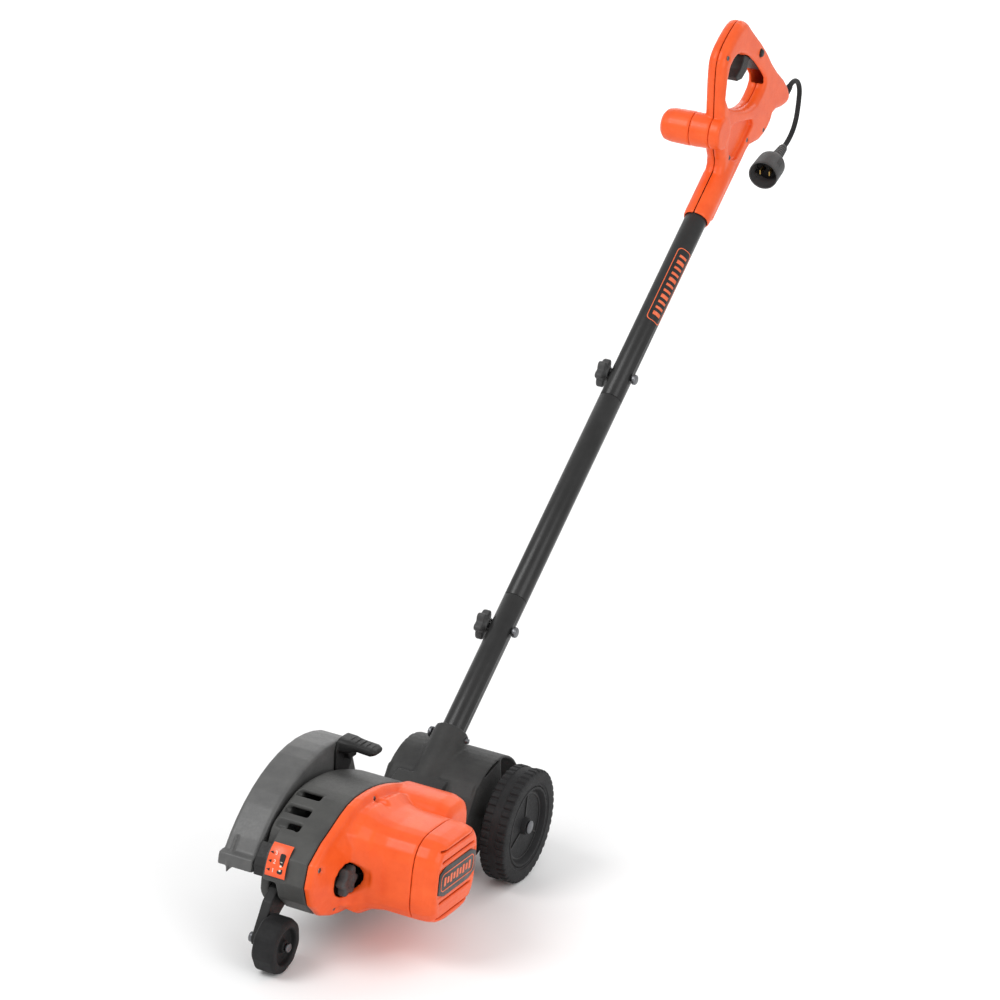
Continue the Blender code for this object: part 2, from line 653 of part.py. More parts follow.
# ---- depth lever and front wheel ----------------------------------------------------------------
def depth_lever():
    """Flat carrier beside the case; it turns on the guard's hub and holds the grip and the pointer."""
    pivot = at(BLADE, -0.0465)
    low, high = -0.0481, -0.0455
    bm = bmesh.new()
    add_ring(bm, 0.0250, 0.0350, low, high, at(BLADE, 0.0), (1, 0, 0), 32)
    carrier = finish("depth_lever", bm, black(), pivot)
    bm = bmesh.new()
    post = [(-0.020, 0.107), (0.000, 0.103), (0.034, 0.156), (0.034, 0.174), (0.026, 0.189), (-0.002, 0.191),
            (-0.006, 0.180), (-0.003, 0.156)]
    add_prism(bm, post, low, high)
    combine(carrier, cutter("lever_post", bm), "UNION")
    bm = bmesh.new()
    sections = ((low + 0.0002, 0.174, 0.1935, 0.015), (-0.036, 0.177, 0.1930, 0.015),
                (-0.024, 0.181, 0.1910, 0.0125),
                (-0.008, 0.180, 0.1900, 0.0125), (-0.003, 0.182, 0.1880, 0.0105))
    rings = [(x, squircle((0.012, (z0 + z1) / 2), 2 * half, z1 - z0, 4.0, 20)) for x, z0, z1,
             half in sections]
    add_loft(bm, rings)
    combine(carrier, cutter("lever_grip", bm), "UNION")
    bm = bmesh.new()
    brace = [(0.014, 0.166), (0.030, 0.166), (0.030, 0.184), (0.002, 0.184)]
    add_prism(bm, brace, low + 0.0004, -0.0380)
    combine(carrier, cutter("lever_brace", bm), "UNION")
    bm = bmesh.new()
    arm = [(-0.064, 0.096), (-0.061, 0.066), (-0.140, 0.088), (-0.1690, 0.0910), (-0.1720, 0.1040),
           (-0.1640, 0.1190), (-0.1560, 0.1260), (-0.125, 0.110)]
    add_prism(bm, arm, low, high)
    combine(carrier, cutter("lever_arm", bm), "UNION")
    bm = bmesh.new()
    nose = [(-0.1655, 0.0905), (-0.1715, 0.0925), (-0.1740, 0.1040), (-0.1690, 0.1130), (-0.1580, 0.1270),
            (-0.1530, 0.1235), (-0.1620, 0.1100), (-0.1665, 0.1000)]
    add_prism(bm, nose, low + 0.0002, -0.0305)
    combine(carrier, cutter("depth_pointer", bm), "UNION")


def front_arm():
    pivot = at(ARM_PIVOT, 0.0)
    y0, z0 = ARM_PIVOT
    bm = bmesh.new()
    outline = (arc(ARM_PIVOT, 0.0098, 100, -60, 8) + [(-0.157, 0.051)] + arc(FRONT_AXLE, 0.0078, -40, -210, 8)
               + [(-0.1800, 0.0700), (-0.1650, 0.0810)])
    add_prism(bm, list(reversed(outline)), ARM_X[0], ARM_X[1])
    arm = finish("front_wheel_arm", bm, black(), pivot)
    bm = bmesh.new()
    add_rod(bm, (-0.05, y0, z0), (0.02, y0, z0), 0.0034, 16)
    add_rod(bm, at(FRONT_AXLE, -0.05), at(FRONT_AXLE, 0.0), 0.0034, 16)
    combine(arm, cutter("arm_bores", bm))
    bm = bmesh.new()
    add_turned(bm, ((0, 0), (0, 0.0055), (0.003, 0.0060), (0.004, 0.0060), (0.004, 0.0031), (0.0450, 0.0031),
                    (0.0450, 0.0055), (0.0475, 0.0050), (0.0475, 0)), at(FRONT_AXLE, -0.0345), (1, 0, 0), 16)
    finish("front_axle", bm, steel(), pivot)
    bm = bmesh.new()
    add_rod(bm, (-0.0362, y0, z0), (-0.0148, y0, z0), 0.0031, 16)
    finish("arm_pin", bm, steel())


def wheel(tyre_name, hub_name, centre, radius, width, lugs, hub_r, bore):
    """A moulded tyre with tread lugs, on a dished hub."""
    outer = []
    for k in range(lugs * 4):
        turn = -pi / 2 + 2 * pi * (k - 0.5) / (lugs * 4)
        reach = radius if (k % 4) < 2 else radius * 0.975
        outer.append((turn, reach / cos(pi / (lugs * 4)) if (k % 4) < 2 else reach))
    half = width / 2
    rows = ((-half, -0.0035), (-half + 0.003, 0.0), (half - 0.003, 0.0), (half, -0.0035))
    bm = bmesh.new()
    rings = []
    for x, drop in rows:
        rings.append([(centre[0] + x, centre[1] + (r + drop) * cos(t),
                       centre[2] + (r + drop) * sin(t)) for t, r in outer])
    bore_rows = [(half, hub_r), (-half, hub_r)]
    if hub_name is None:
        dish = 0.007
        face = [(half, hub_r), (half - dish, hub_r - 0.001), (half - dish, bore * 2.1),
                (half - 0.001, bore * 2.0),
                (half - 0.001, bore)]
        bore_rows = face + [(-x, r) for x, r in reversed(face)]
    for x, r in bore_rows:
        rings.append([(centre[0] + x, centre[1] + r * cos(t), centre[2] + r * sin(t)) for t, _ in outer])
    rows = bridge(bm, rings, closed_ends=False)
    count = len(outer)
    for i in range(count):
        j = (i + 1) % count
        bm.faces.new((rows[-1][i], rows[-1][j], rows[0][j], rows[0][i]))
    finish(tyre_name, bm, rubber(), centre)
    if hub_name is None:
        return
    bm = bmesh.new()
    r = hub_r - GAP
    add_turned(bm, ((-half + 0.001, bore), (-half + 0.001, bore * 2.2), (-half + 0.007, bore * 2.4),
                    (-half + 0.007, r - 0.005),
                    (-half + 0.001, r - 0.003), (-half + 0.001, r), (half - 0.001, r),
                    (half - 0.001, r - 0.003),
                    (half - 0.007, r - 0.005), (half - 0.007, bore * 2.4), (half - 0.001, bore * 2.2),
                    (half - 0.001, bore),
                    (-half + 0.001, bore)), centre, (1, 0, 0), 24)
    bmesh.ops.remove_doubles(bm, verts=bm.verts, dist=1e-6)
    finish(hub_name, bm, black(), centre)


def wheels():
    wheel("right_rear_tyre", "right_rear_hub", at(REAR_AXLE, REAR_X), REAR_R, REAR_W, 18, 0.048, 0.0043)
    wheel("left_rear_tyre", "left_rear_hub", at(REAR_AXLE, INNER_X), REAR_R, INNER_W, 18, 0.048, 0.0043)
    wheel("front_wheel", None, at(FRONT_AXLE, FRONT_X), FRONT_R, FRONT_W, 9, 0.0205, 0.0034)
    bm = bmesh.new()
    left, right = HOOD_X[0] - 0.0002, REAR_X + REAR_W / 2
    reach = right - left
    add_turned(bm, ((-0.0015, 0), (-0.0015, 0.0065), (-GAP, 0.0070), (-GAP, 0.0040), (reach + GAP, 0.0040),
                    (reach + GAP, 0.0080),
                    (reach + 0.0015, 0.0075), (reach + 0.0015, 0)), at(REAR_AXLE, left), (1, 0, 0), 20)
    finish("rear_axle", bm, steel())


# ---- rear hood and shaft ------------------------------------------------------------------------
def rear_hood():
    left, right = HOOD_X
    y, z = REAR_AXLE
    bm = bmesh.new()
    outer = arc(REAR_AXLE, HOOD_R, -12, 168, 24)
    inner = arc(REAR_AXLE, HOOD_R - 0.003, 168, -12, 24)
    add_prism(bm, outer + inner, left, right)
    hood = finish("rear_hood", bm, charcoal())
    bm = bmesh.new()
    cheek = [(0.0890, 0.036), (0.150, 0.030), (0.200, 0.050), (0.205, 0.085), (0.190, 0.135),
             (0.130, 0.120), (0.1080, 0.080)]
    for x in (left, right - 0.0030):
        add_prism(bm, cheek, x, x + 0.0030)
    add_rod(bm, at(REAR_AXLE, INNER_X + INNER_W / 2 + 0.0008), at(REAR_AXLE, right - 0.001), 0.0095, 20)
    combine(hood, cutter("hood_cheeks", bm), "UNION")
    bm = bmesh.new()
    neck = [(0.0920, 0.044), (0.1130, 0.044), (0.1140, 0.100), (0.1330, 0.116), (0.1280, 0.120),
            (0.0890, 0.106), (0.0900, 0.075)]
    add_prism(bm, neck, -0.0330, 0.0300)
    combine(hood, cutter("hood_neck", bm), "UNION")
    bm = bmesh.new()
    add_turned(bm, ((-0.078, 0.0232), (-0.010, 0.0212), (0.0, 0.0205)), along_shaft(0.0), SHAFT, 24)
    combine(hood, cutter("shaft_socket", bm), "UNION")
    bm = bmesh.new()
    add_rod(bm, along_shaft(-SOCKET_DEPTH), along_shaft(0.02), TUBE_R + GAP, 24)
    add_rod(bm, at(REAR_AXLE, left - 0.01), at(REAR_AXLE, right + 0.01), 0.0043, 20)
    add_rod(bm, along_shaft(SOCKET_BOLT, x=-0.05), along_shaft(SOCKET_BOLT, x=0.05), 0.0033, 16)
    combine(hood, cutter("hood_bores", bm))


def cross_bolt(bm, distance, reach, side=1):
    """A bolt across the shaft: round head at side, plain end opposite."""
    head = along_shaft(distance, x=side * reach)
    add_turned(bm, ((0, 0), (0, 0.0050), (0.0015, 0.0064), (0.0046, 0.0064), (0.0046, 0.0029),
                    (2 * reach + 0.006, 0.0029), (2 * reach + 0.006, 0)),
               (head[0] + side * 0.0046, head[1], head[2]), (-side, 0, 0), 16)


def tubes():
    def tube(name, stations):
        bm = bmesh.new()
        outside = [(s, r) for s, r in stations]
        inside = [(s, r - TUBE_WALL) for s, r in reversed(stations)]
        loop = outside + inside
        axis, first, second = frame_of(SHAFT)
        rows = []
        for k in range(24):
            turn = 2 * pi * k / 24
            way = first * cos(turn) + second * sin(turn)
            rows.append([bm.verts.new(Vector(along_shaft(s)) + way * r) for s, r in loop])
        for k in range(24):
            one, two = rows[k], rows[(k + 1) % 24]
            for i in range(len(loop)):
                j = (i + 1) % len(loop)
                bm.faces.new((one[i], one[j], two[j], two[i]))
        return finish(name, bm, paint())
    lower = tube("lower_tube", ((-SOCKET_DEPTH + 0.001, TUBE_R), (LOWER_SEAM - 2 * GAP, TUBE_R)))
    reach = 0.062
    middle = tube("middle_tube", ((LOWER_SEAM - reach, SWAGE_R), (LOWER_SEAM - GAP, SWAGE_R),
                                  (LOWER_SEAM, TUBE_R),
                                  (UPPER_SEAM, TUBE_R), (UPPER_SEAM + GAP, SWAGE_R), (UPPER_SEAM + reach,
                                                                                      SWAGE_R)))
    upper = tube("upper_tube", ((UPPER_SEAM + 2 * GAP, TUBE_R), (TUBE_TOP, TUBE_R)))
    bm = bmesh.new()
    for distance in (SOCKET_BOLT, LOWER_BOLT, UPPER_BOLT):
        add_rod(bm, along_shaft(distance, x=-0.03), along_shaft(distance, x=0.03), 0.0033, 16)
    holes = cutter("bolt_holes", bm)
    for piece in (lower, middle, upper):
        combine(piece, holes)
    bolts = (("socket", SOCKET_BOLT, 0.0224), ("lower_tube", LOWER_BOLT, TUBE_R + 0.0018),
             ("upper_tube", UPPER_BOLT, TUBE_R + 0.0018))
    for name, distance, reach in bolts:
        bm = bmesh.new()
        cross_bolt(bm, distance, reach, -1 if name == "socket" else 1)
        finish(name + "_bolt", bm, dark_steel())
        if name != "socket":
            star_knob(name + "_knob", along_shaft(distance, x=-TUBE_R - 0.0010), (-1, 0, 0), 0.0180)
    star_knob("guide_knob", (0.0325, *GUIDE_KNOB), (1, 0, 0), 0.0175)


KNOB_SIDES = 24


def star_knob(name, centre, way, radius):
    """Six-lobed hand knob with a blind bore in its foot."""
    axis, first, second = frame_of(way)
    centre = Vector(centre)
    def lobed(scale, height):
        ring = []
        for k in range(KNOB_SIDES):
            turn = 2 * pi * k / KNOB_SIDES
            reach = radius * scale * (0.87 + 0.13 * cos(6 * turn))
            ring.append(centre + axis * height + (first * cos(turn) + second * sin(turn)) * reach)
        return ring
    def plain(reach, height):
        return [centre + axis * height + (first * cos(2 * pi * k / KNOB_SIDES) + second * sin(2 * pi * k / KNOB_SIDES)) * reach
                for k in range(KNOB_SIDES)]
    bm = bmesh.new()
    bridge(bm, [plain(0.0034, 0.0075), plain(0.0034, 0.0), plain(0.0085, 0.0), plain(0.0090, 0.0030),
                lobed(0.95, 0.0038),
                lobed(1.0, 0.0052), lobed(1.0, 0.0110), lobed(0.92, 0.0132), plain(0.0080, 0.0136),
                plain(0.0060, 0.0126)])
    knob = finish(name, bm, black(), centre)
    return knob


# ---- handle -------------------------------------------------------------------------------------
HANDLE = ((0.7855, 0.6415), (0.8245, 0.6759), (0.8619, 0.7085), (0.8900, 0.7340), (0.9030, 0.7350),
          (0.9320, 0.7370),
          (0.9580, 0.7530), (0.9650, 0.7700), (1.0060, 0.7700), (1.0240, 0.7800), (1.0060, 0.8030),
          (0.9540, 0.8290),
          (0.9110, 0.8610), (0.8610, 0.8880), (0.8380, 0.9020), (0.8240, 0.9030), (0.8030, 0.8910),
          (0.7820, 0.8740),
          (0.7720, 0.8580), (0.7740, 0.8350), (0.7800, 0.8050), (0.7845, 0.7850), (0.7880, 0.7620),
          (0.7970, 0.7400), (0.8070, 0.7260), (0.8015, 0.7085), (0.7826, 0.6930))
GRIP_AXIS = (0.7930, 0.7655)         # (y, z) of the side grip, square to the handle's loop
GRIP_X = (0.0145, -0.0260, -0.0690)  # its boss, its seam and the end of its cap
LOOP = ((0.792, 0.800), (0.790, 0.845), (0.806, 0.860), (0.830, 0.8625), (0.868, 0.850), (0.905, 0.829),
        (0.922, 0.816),
        (0.914, 0.802), (0.892, 0.787), (0.850, 0.786))
WEB = ((0.813, 0.741), (0.8190, 0.758), (0.8180, 0.774), (0.850, 0.773), (0.900, 0.770), (0.872, 0.744), (0.842, 0.720))
POCKET = ((0.850, 0.864), (0.890, 0.852), (0.925, 0.829), (0.948, 0.806), (0.985, 0.791), (0.978, 0.779),
          (0.942, 0.790),
          (0.915, 0.818), (0.880, 0.842), (0.846, 0.856))


def handle_cavity(outline, loop, web):
    """The room inside the clamshell, clear of the loop, the web, the screw posts and the shaft's barrel."""
    depth = HANDLE_HALF - HANDLE_WALL
    bm = bmesh.new()
    bridge(bm, [[(x, y, z) for y, z in inset(outline, cut)] for x, cut in
                ((-depth, 0.0074), (0.0040 - depth, 0.0032), (depth - 0.0040, 0.0032), (depth, 0.0074))])
    cavity = cutter("handle_cavity", bm)
    bm = bmesh.new()
    add_prism(bm, inset(list(reversed(loop)), -HANDLE_WALL - 0.0035), -0.04, 0.04)
    for side in (1, -1):
        near, far = sorted((side * 0.0043, side * 0.04))
        add_prism(bm, inset(list(reversed(web)), -0.0026), near, far)
    for y, z in HANDLE_SCREWS:
        add_rod(bm, (-0.04, y, z), (0.04, y, z), 0.0063, 12)
    add_rod(bm, along_shaft(HANDLE_MOUTH - 0.03), along_shaft(TUBE_TOP + 0.005), TUBE_R + 0.0030, 24)
    combine(cavity, cutter("handle_posts", bm))
    return cavity


def handle():
    """Two clamshell halves that meet in the shaft's plane."""
    outline = smooth_outline(list(HANDLE), 1)
    bm = bmesh.new()
    loop = smooth_outline(list(LOOP), 1)
    flare = ((0.0300, 0.0050), (HANDLE_HALF, 0.0050), (HANDLE_HALF - 0.0012, 0.0028),
             (HANDLE_HALF - 0.0040, 0.0009), (HANDLE_HALF - 0.0080, 0.0))
    stations = [(-x, grow) for x, grow in flare] + [(x, grow) for x, grow in reversed(flare)]
    rim = list(reversed(loop))
    bridge(bm, [[(x, y, z) for y, z in (inset(rim, -grow) if grow else rim)] for x, grow in stations])
    opening = cutter("loop_opening", bm)
    bm = bmesh.new()
    add_rod(bm, along_shaft(HANDLE_MOUTH - 0.02), along_shaft(TUBE_TOP + 0.002), TUBE_R + GAP, 24)
    add_prism(bm, POCKET, -0.0085, 0.0085)
    add_prism(bm, ((0.828, 0.722), (0.850, 0.716), (0.945, 0.770), (0.965, 0.785), (0.950, 0.800)),
              -0.0060, 0.0060)
    hollow = cutter("handle_hollow", bm)
    bm = bmesh.new()
    web = smooth_outline(list(WEB), 1)
    cavity = handle_cavity(outline, loop, web)
    for side in (1, -1):
        near, far = sorted((side * 0.0070, side * 0.03))
        add_prism(bm, web, near, far)
    recess = cutter("web_recess", bm)
    bm = bmesh.new()
    for y, z in HANDLE_SCREWS:
        add_rod(bm, (0.0105, y, z), (0.03, y, z), 0.0038, 10)
    add_rod(bm, (0.0030, 0.892, 0.8555), (0.03, 0.892, 0.8555), 0.0055, 16)
    screw_holes = cutter("handle_screw_holes", bm)
    bm = bmesh.new()
    start = Vector(CORD_ROUTE[0])
    way = (Vector(CORD_ROUTE[1]) - start).normalized()
    add_rod(bm, start - way * (STRAIN_LENGTH + 0.002), start, 0.0062, 20)
    seat = cutter("strain_seat", bm)
    bm = bmesh.new()
    add_turned(bm, ((0, 0), (0, 0.0166), (0.004, 0.0173), (0.070, 0.0173), (0.110, 0.0150), (0.110, 0)),
               along_shaft(HANDLE_MOUTH), SHAFT, 24, pi / 24)
    barrel = cutter("shaft_barrel", bm)
    boss = Vector((GRIP_X[0], *GRIP_AXIS))
    reach = GRIP_X[0] - GRIP_X[1]
    bm = bmesh.new()
    add_turned(bm, ((0, 0), (0, 0.0190), (0.0016, 0.0206), (0.0160, 0.0212), (reach, 0.0220), (reach, 0)),
               boss, (-1, 0, 0), 24, pi / 24)
    front_grip = cutter("front_grip_barrel", bm)
    bm = bmesh.new()
    add_turned(bm, ((0.0225, 0), (0.0225, 0.0110), (0.0285, 0.0180), (reach - 0.003, 0.0188), (reach - 0.003, 0)),
               boss, (-1, 0, 0), 24, pi / 24)
    grip_room = cutter("front_grip_room", bm)
    for name, side in (("handle_left", 1), ("handle_right", -1)):
        bm = bmesh.new()
        near, far = sorted((side * GAP / 2, -side * 0.05))
        add_box(bm, (near, 0.55, 0.55), (far, 1.20, 1.0))
        other_side = cutter(name + "_parting", bm)
        bm = bmesh.new()
        t = HANDLE_HALF
        bridge(bm, [[(side * x, y, z) for y, z in (inset(outline, cut) if cut else outline)]
                    for x, cut in ((-0.004, 0.0), (t - 0.0075, 0.0), (t - 0.0035, 0.0018), (t - 0.0010, 0.0045),
                                 (t, 0.0078))])
        half = finish(name, bm, orange())
        combine(half, barrel, "UNION")
        combine(half, front_grip, "UNION")
        combine(half, grip_room)
        combine(half, other_side)
        for tool in (cavity, opening, hollow, recess, screw_holes, seat):
            combine(half, tool)
    grip_cap()


def grip_cap():
    """The hollow cap on the outer end of the side grip."""
    seam = Vector((GRIP_X[1], *GRIP_AXIS))
    reach = GRIP_X[1] - GRIP_X[2]
    bm = bmesh.new()
    add_turned(bm, ((GAP, 0), (GAP, 0.0216), (0.003, 0.0222), (reach - 0.014, 0.0214), (reach - 0.006, 0.0196),
                    (reach - 0.0015, 0.0145), (reach, 0.0080), (reach, 0)), seam, (-1, 0, 0), 24)
    cap = finish("front_grip_cap", bm, orange())
    bm = bmesh.new()
    add_turned(bm, ((-0.01, 0), (-0.01, 0.0185), (reach - 0.014, 0.0182), (reach - 0.007, 0.0160),
                    (reach - 0.0035, 0.0110), (reach - 0.0035, 0)), seam, (-1, 0, 0), 24)
    combine(cap, cutter("grip_cap_room", bm))


HANDLE_SCREWS = ((0.8260, 0.7300), (0.880, 0.745), (0.782, 0.862), (0.935, 0.750))
STRAIN_LENGTH = 0.0280


def switchgear():
    bm = bmesh.new()
    body = [(0.868, 0.8565), (0.906, 0.8390), (0.901, 0.8320), (0.880, 0.8440), (0.8660, 0.8500)]
    add_prism(bm, body, -0.0078, 0.0078)
    finish("switch_body", bm, black())
    bm = bmesh.new()
    trigger = [(0.8470, 0.8580), (0.8640, 0.8535), (0.8640, 0.8480), (0.8620, 0.8360), (0.8480, 0.8270),
               (0.8330, 0.8260),
               (0.8260, 0.8320), (0.8380, 0.8400), (0.8450, 0.8500)]
    add_prism(bm, trigger, -0.0078, 0.0078)
    finish("trigger", bm, black(), (0.0, 0.8560, 0.8545))
    bm = bmesh.new()
    add_turned(bm, ((0, 0), (0, 0.0052), (0.0075, 0.0052), (0.0090, 0.0040), (0.0090, 0)),
               (0.0062, 0.892, 0.8555), (1, 0, 0), 16)
    finish("lock_button", bm, black(), (0.0062, 0.892, 0.8555))


# ---- cord ---------------------------------------------------------------------------------------
CORD_ROUTE = ((0.0, 1.0447, 0.7904), (0.0, 1.0510, 0.7938), (0.0, 1.0605, 0.7955), (0.0, 1.0705, 0.7933),
              (0.0, 1.0790, 0.7873), (0.0, 1.0842, 0.7785), (0.0, 1.0858, 0.7680), (0.0, 1.0860, 0.7530),
              (0.0, 1.0840, 0.7400), (0.0, 1.0785, 0.7285), (0.0, 1.0700, 0.7195), (0.0, 1.0605, 0.7130),
              (0.0, 1.0505, 0.7082))


def smooth_path(points, per_span=1):
    """Points read from a Catmull-Rom curve through the route."""
    padded = [points[0], *points, points[-1]]
    read = []
    for i in range(1, len(padded) - 2):
        a, b, c, d = (Vector(p) for p in padded[i - 1:i + 3])
        for k in range(per_span):
            t = k / per_span
            read.append(0.5 * (2 * b + (c - a) * t + (2 * a - 5 * b + 4 * c - d) * t * t
                               + (3 * b - a - 3 * c + d) * t ** 3))
    read.append(Vector(points[-1]))
    return read


def flexible(name, points, diameter, surface, resolution=2):
    data = bpy.data.curves.new(name, "CURVE")
    data.dimensions = "3D"
    data.bevel_depth = diameter / 2
    data.bevel_resolution = resolution
    data.use_fill_caps = True
    spline = data.splines.new("POLY")
    spline.points.add(len(points) - 1)
    for slot, point in zip(spline.points, points):
        slot.co = (*point, 1.0)
    data.materials.append(surface)
    made = bpy.data.objects.new(name, data)
    made.parent = bpy.data.objects["datum"]
    bpy.context.scene.collection.objects.link(made)
    return made


def cord_and_plug():
    flexible("power_cord", smooth_path(CORD_ROUTE), CORD_D, rubber())
    start = Vector(CORD_ROUTE[0])
    way = (Vector(CORD_ROUTE[1]) - start).normalized()
    bm = bmesh.new()
    length = STRAIN_LENGTH
    add_turned(bm, ((0, 0), (0, 0.0056), (0.4 * length, 0.0056), (length, 0.0045), (length, 0)),
               start - way * (length + GAP), way, 16)
    finish("strain_relief", bm, rubber())
    end = Vector(CORD_ROUTE[-1])
    way = (end - Vector(CORD_ROUTE[-2])).normalized()
    plug_way = Vector((0.06, -0.94, -0.30)).normalized()
    seat = end + way * 3 * GAP
    bm = bmesh.new()
    add_turned(bm, ((0, 0), (0, 0.0052), (0.008, 0.0066), (0.040, 0.0088), (0.043, 0.0150),
                    (0.048, 0.0188), (0.082, 0.0198),
                    (0.082, 0.0180), (0.060, 0.0174), (0.060, 0)), seat, plug_way, 24)
    finish("plug_body", bm, rubber(), seat)
    base = seat + plug_way * (0.060 + GAP)
    axis, first, second = frame_of(plug_way)
    bm = bmesh.new()
    add_turned(bm, ((0, 0), (0, 0.0150), (0.0016, 0.0150), (0.0016, 0)), base, plug_way, 24)
    pins = finish("plug_pins", bm, brass(), seat)
    bm = bmesh.new()
    for side in (1, -1):
        middle = base + first * side * 0.0063
        corners = [middle + second * a * 0.0031 + first * b * 0.00075 for a, b in ((1, 1), (-1, 1),
                                                                                   (-1, -1), (1, -1))]
        bridge(bm, [[p + axis * h for p in corners] for h in (0.001, 0.0145)])
    combine(pins, cutter("pin_blades", bm), "UNION")


def internal_lead():
    """The lead inside the shaft, from the switch to the motor."""
    points = [along_shaft(-SOCKET_DEPTH + 0.012, 0.0070), along_shaft(-0.010, 0.0075), along_shaft(0.010,
                                                                                                   0.0070),
              along_shaft(0.10, 0.004), along_shaft(0.14, 0.0075), along_shaft(0.18, 0.006),
              along_shaft(0.30),
              along_shaft(0.48, 0.006), along_shaft(0.515, 0.0075), along_shaft(0.56, 0.005),
              along_shaft(0.70), along_shaft(TUBE_TOP - 0.004)]
    flexible("internal_lead", smooth_path(points, 2), 0.0050, black())


def depth_label():
    bm = bmesh.new()
    outline = smooth_outline(list(FLANGE), 2)
    face = [p for p in inset(outline, -0.0004) if p[0] < -0.150 and 0.0985 < p[1] < 0.138]
    face.sort(key=lambda p: p[1])
    back = [(y + 0.0, z) for y, z in face]
    outer = [(y - 0.0007, z) for y, z in face]
    add_prism(bm, back + list(reversed(outer)), -0.0265, -0.0025)
    finish("depth_label", bm, orange())


def main():
    clear_scene()
    empty("datum", DATUM)
    gear_housing()
    gear_plate()
    motor_housing()
    end_cap()
    rotor()
    field()
    blade_group()
    blade_guard()
    debris_flap()
    depth_label()
    depth_lever()
    front_arm()
    wheels()
    rear_hood()
    tubes()
    handle()
    switchgear()
    cord_and_plug()
    internal_lead()


main()
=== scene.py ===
from math import cos, pi, radians, sin

import bmesh
import bpy
from mathutils import Matrix, Vector


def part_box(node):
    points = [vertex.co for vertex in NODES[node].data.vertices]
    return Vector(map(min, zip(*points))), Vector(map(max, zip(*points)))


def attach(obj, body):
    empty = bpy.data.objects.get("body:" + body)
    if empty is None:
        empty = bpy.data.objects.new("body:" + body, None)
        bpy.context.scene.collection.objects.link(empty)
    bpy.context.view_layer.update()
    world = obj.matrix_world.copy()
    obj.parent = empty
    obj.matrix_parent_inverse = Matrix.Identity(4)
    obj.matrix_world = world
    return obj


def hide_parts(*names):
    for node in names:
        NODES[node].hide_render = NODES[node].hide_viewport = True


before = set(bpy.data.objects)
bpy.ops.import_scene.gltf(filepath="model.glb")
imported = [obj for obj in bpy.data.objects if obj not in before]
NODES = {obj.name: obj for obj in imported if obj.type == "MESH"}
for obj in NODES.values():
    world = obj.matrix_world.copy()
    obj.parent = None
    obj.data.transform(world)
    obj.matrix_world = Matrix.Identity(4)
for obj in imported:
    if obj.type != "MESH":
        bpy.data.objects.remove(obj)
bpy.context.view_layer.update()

SCENE = bpy.context.scene

# ---- where things are, in metres ----------------------------------------------------------------
DATUM = Vector((-0.0208, -0.3964, 0.0))
TILT = radians(41.5)
SHAFT = Vector((0.0, cos(TILT), sin(TILT)))
SHAFT_FOOT = Vector((0.0, 0.1937, 0.1513))
TUBE_R = 0.0143
GUIDE_KNOB = Vector((0.0325, -0.126, 0.0935))
LOWER_KNOB_ALONG = 0.143
UPPER_KNOB_ALONG = 0.516
TUBE_KNOB_X = -TUBE_R - 0.0010
HOUSING_SCREW_X = 0.0288
HOUSING_SCREWS = ((-0.055, 0.1605), (-0.170, 0.118), (-0.128, 0.0590), (0.066, 0.078))
HANDLE_SCREW_X = 0.0108
HANDLE_SCREWS = ((0.8260, 0.7300), (0.880, 0.745), (0.782, 0.862), (0.935, 0.750))
CORD_ROUTE = ((0.0, 1.0447, 0.7904), (0.0, 1.0510, 0.7938), (0.0, 1.0605, 0.7955), (0.0, 1.0705, 0.7933),
              (0.0, 1.0790, 0.7873), (0.0, 1.0842, 0.7785), (0.0, 1.0858, 0.7680), (0.0, 1.0860, 0.7530),
              (0.0, 1.0840, 0.7400), (0.0, 1.0785, 0.7285), (0.0, 1.0700, 0.7195), (0.0, 1.0605, 0.7130),
              (0.0, 1.0505, 0.7082))
CORD_D = 0.0068
STRAIN_LENGTH = 0.0280
DECAL_ALONG = 0.654
DECAL_SIZE = (0.112, 0.0225)
INK_LIFT = 0.00012
PLUG_WAY = Vector((0.06, -0.94, -0.30)).normalized()


def place(x, y, z):
    return DATUM + Vector((x, y, z))


def on_shaft(along, x=0.0):
    return DATUM + SHAFT_FOOT + SHAFT * along + Vector((x, 0.0, 0.0))


# ---- camera, floor and light --------------------------------------------------------------------
def camera():
    data = bpy.data.cameras.new("camera")
    data.lens = 120.53
    data.sensor_width = 36.0
    data.clip_end = 50.0
    made = bpy.data.objects.new("camera", data)
    right = Vector((0.89397, 0.43779, 0.09572))
    up = Vector((-0.21794, 0.23808, 0.94648))
    back = Vector((0.39157, -0.86698, 0.30824))
    turn = Matrix((right, up, back)).transposed().to_4x4()
    made.matrix_world = Matrix.Translation((1.4748, -3.4476, 1.5927)) @ turn
    SCENE.collection.objects.link(made)
    SCENE.camera = made


def area_light(name, spot, target, size, power, colour=(1.0, 1.0, 1.0)):
    data = bpy.data.lights.new(name, "AREA")
    data.shape = "RECTANGLE"
    data.size = size[0]
    data.size_y = size[1]
    data.energy = power
    data.color = colour
    made = bpy.data.objects.new(name, data)
    made.location = spot
    made.rotation_euler = (Vector(target) - Vector(spot)).to_track_quat("-Z", "Y").to_euler()
    SCENE.collection.objects.link(made)


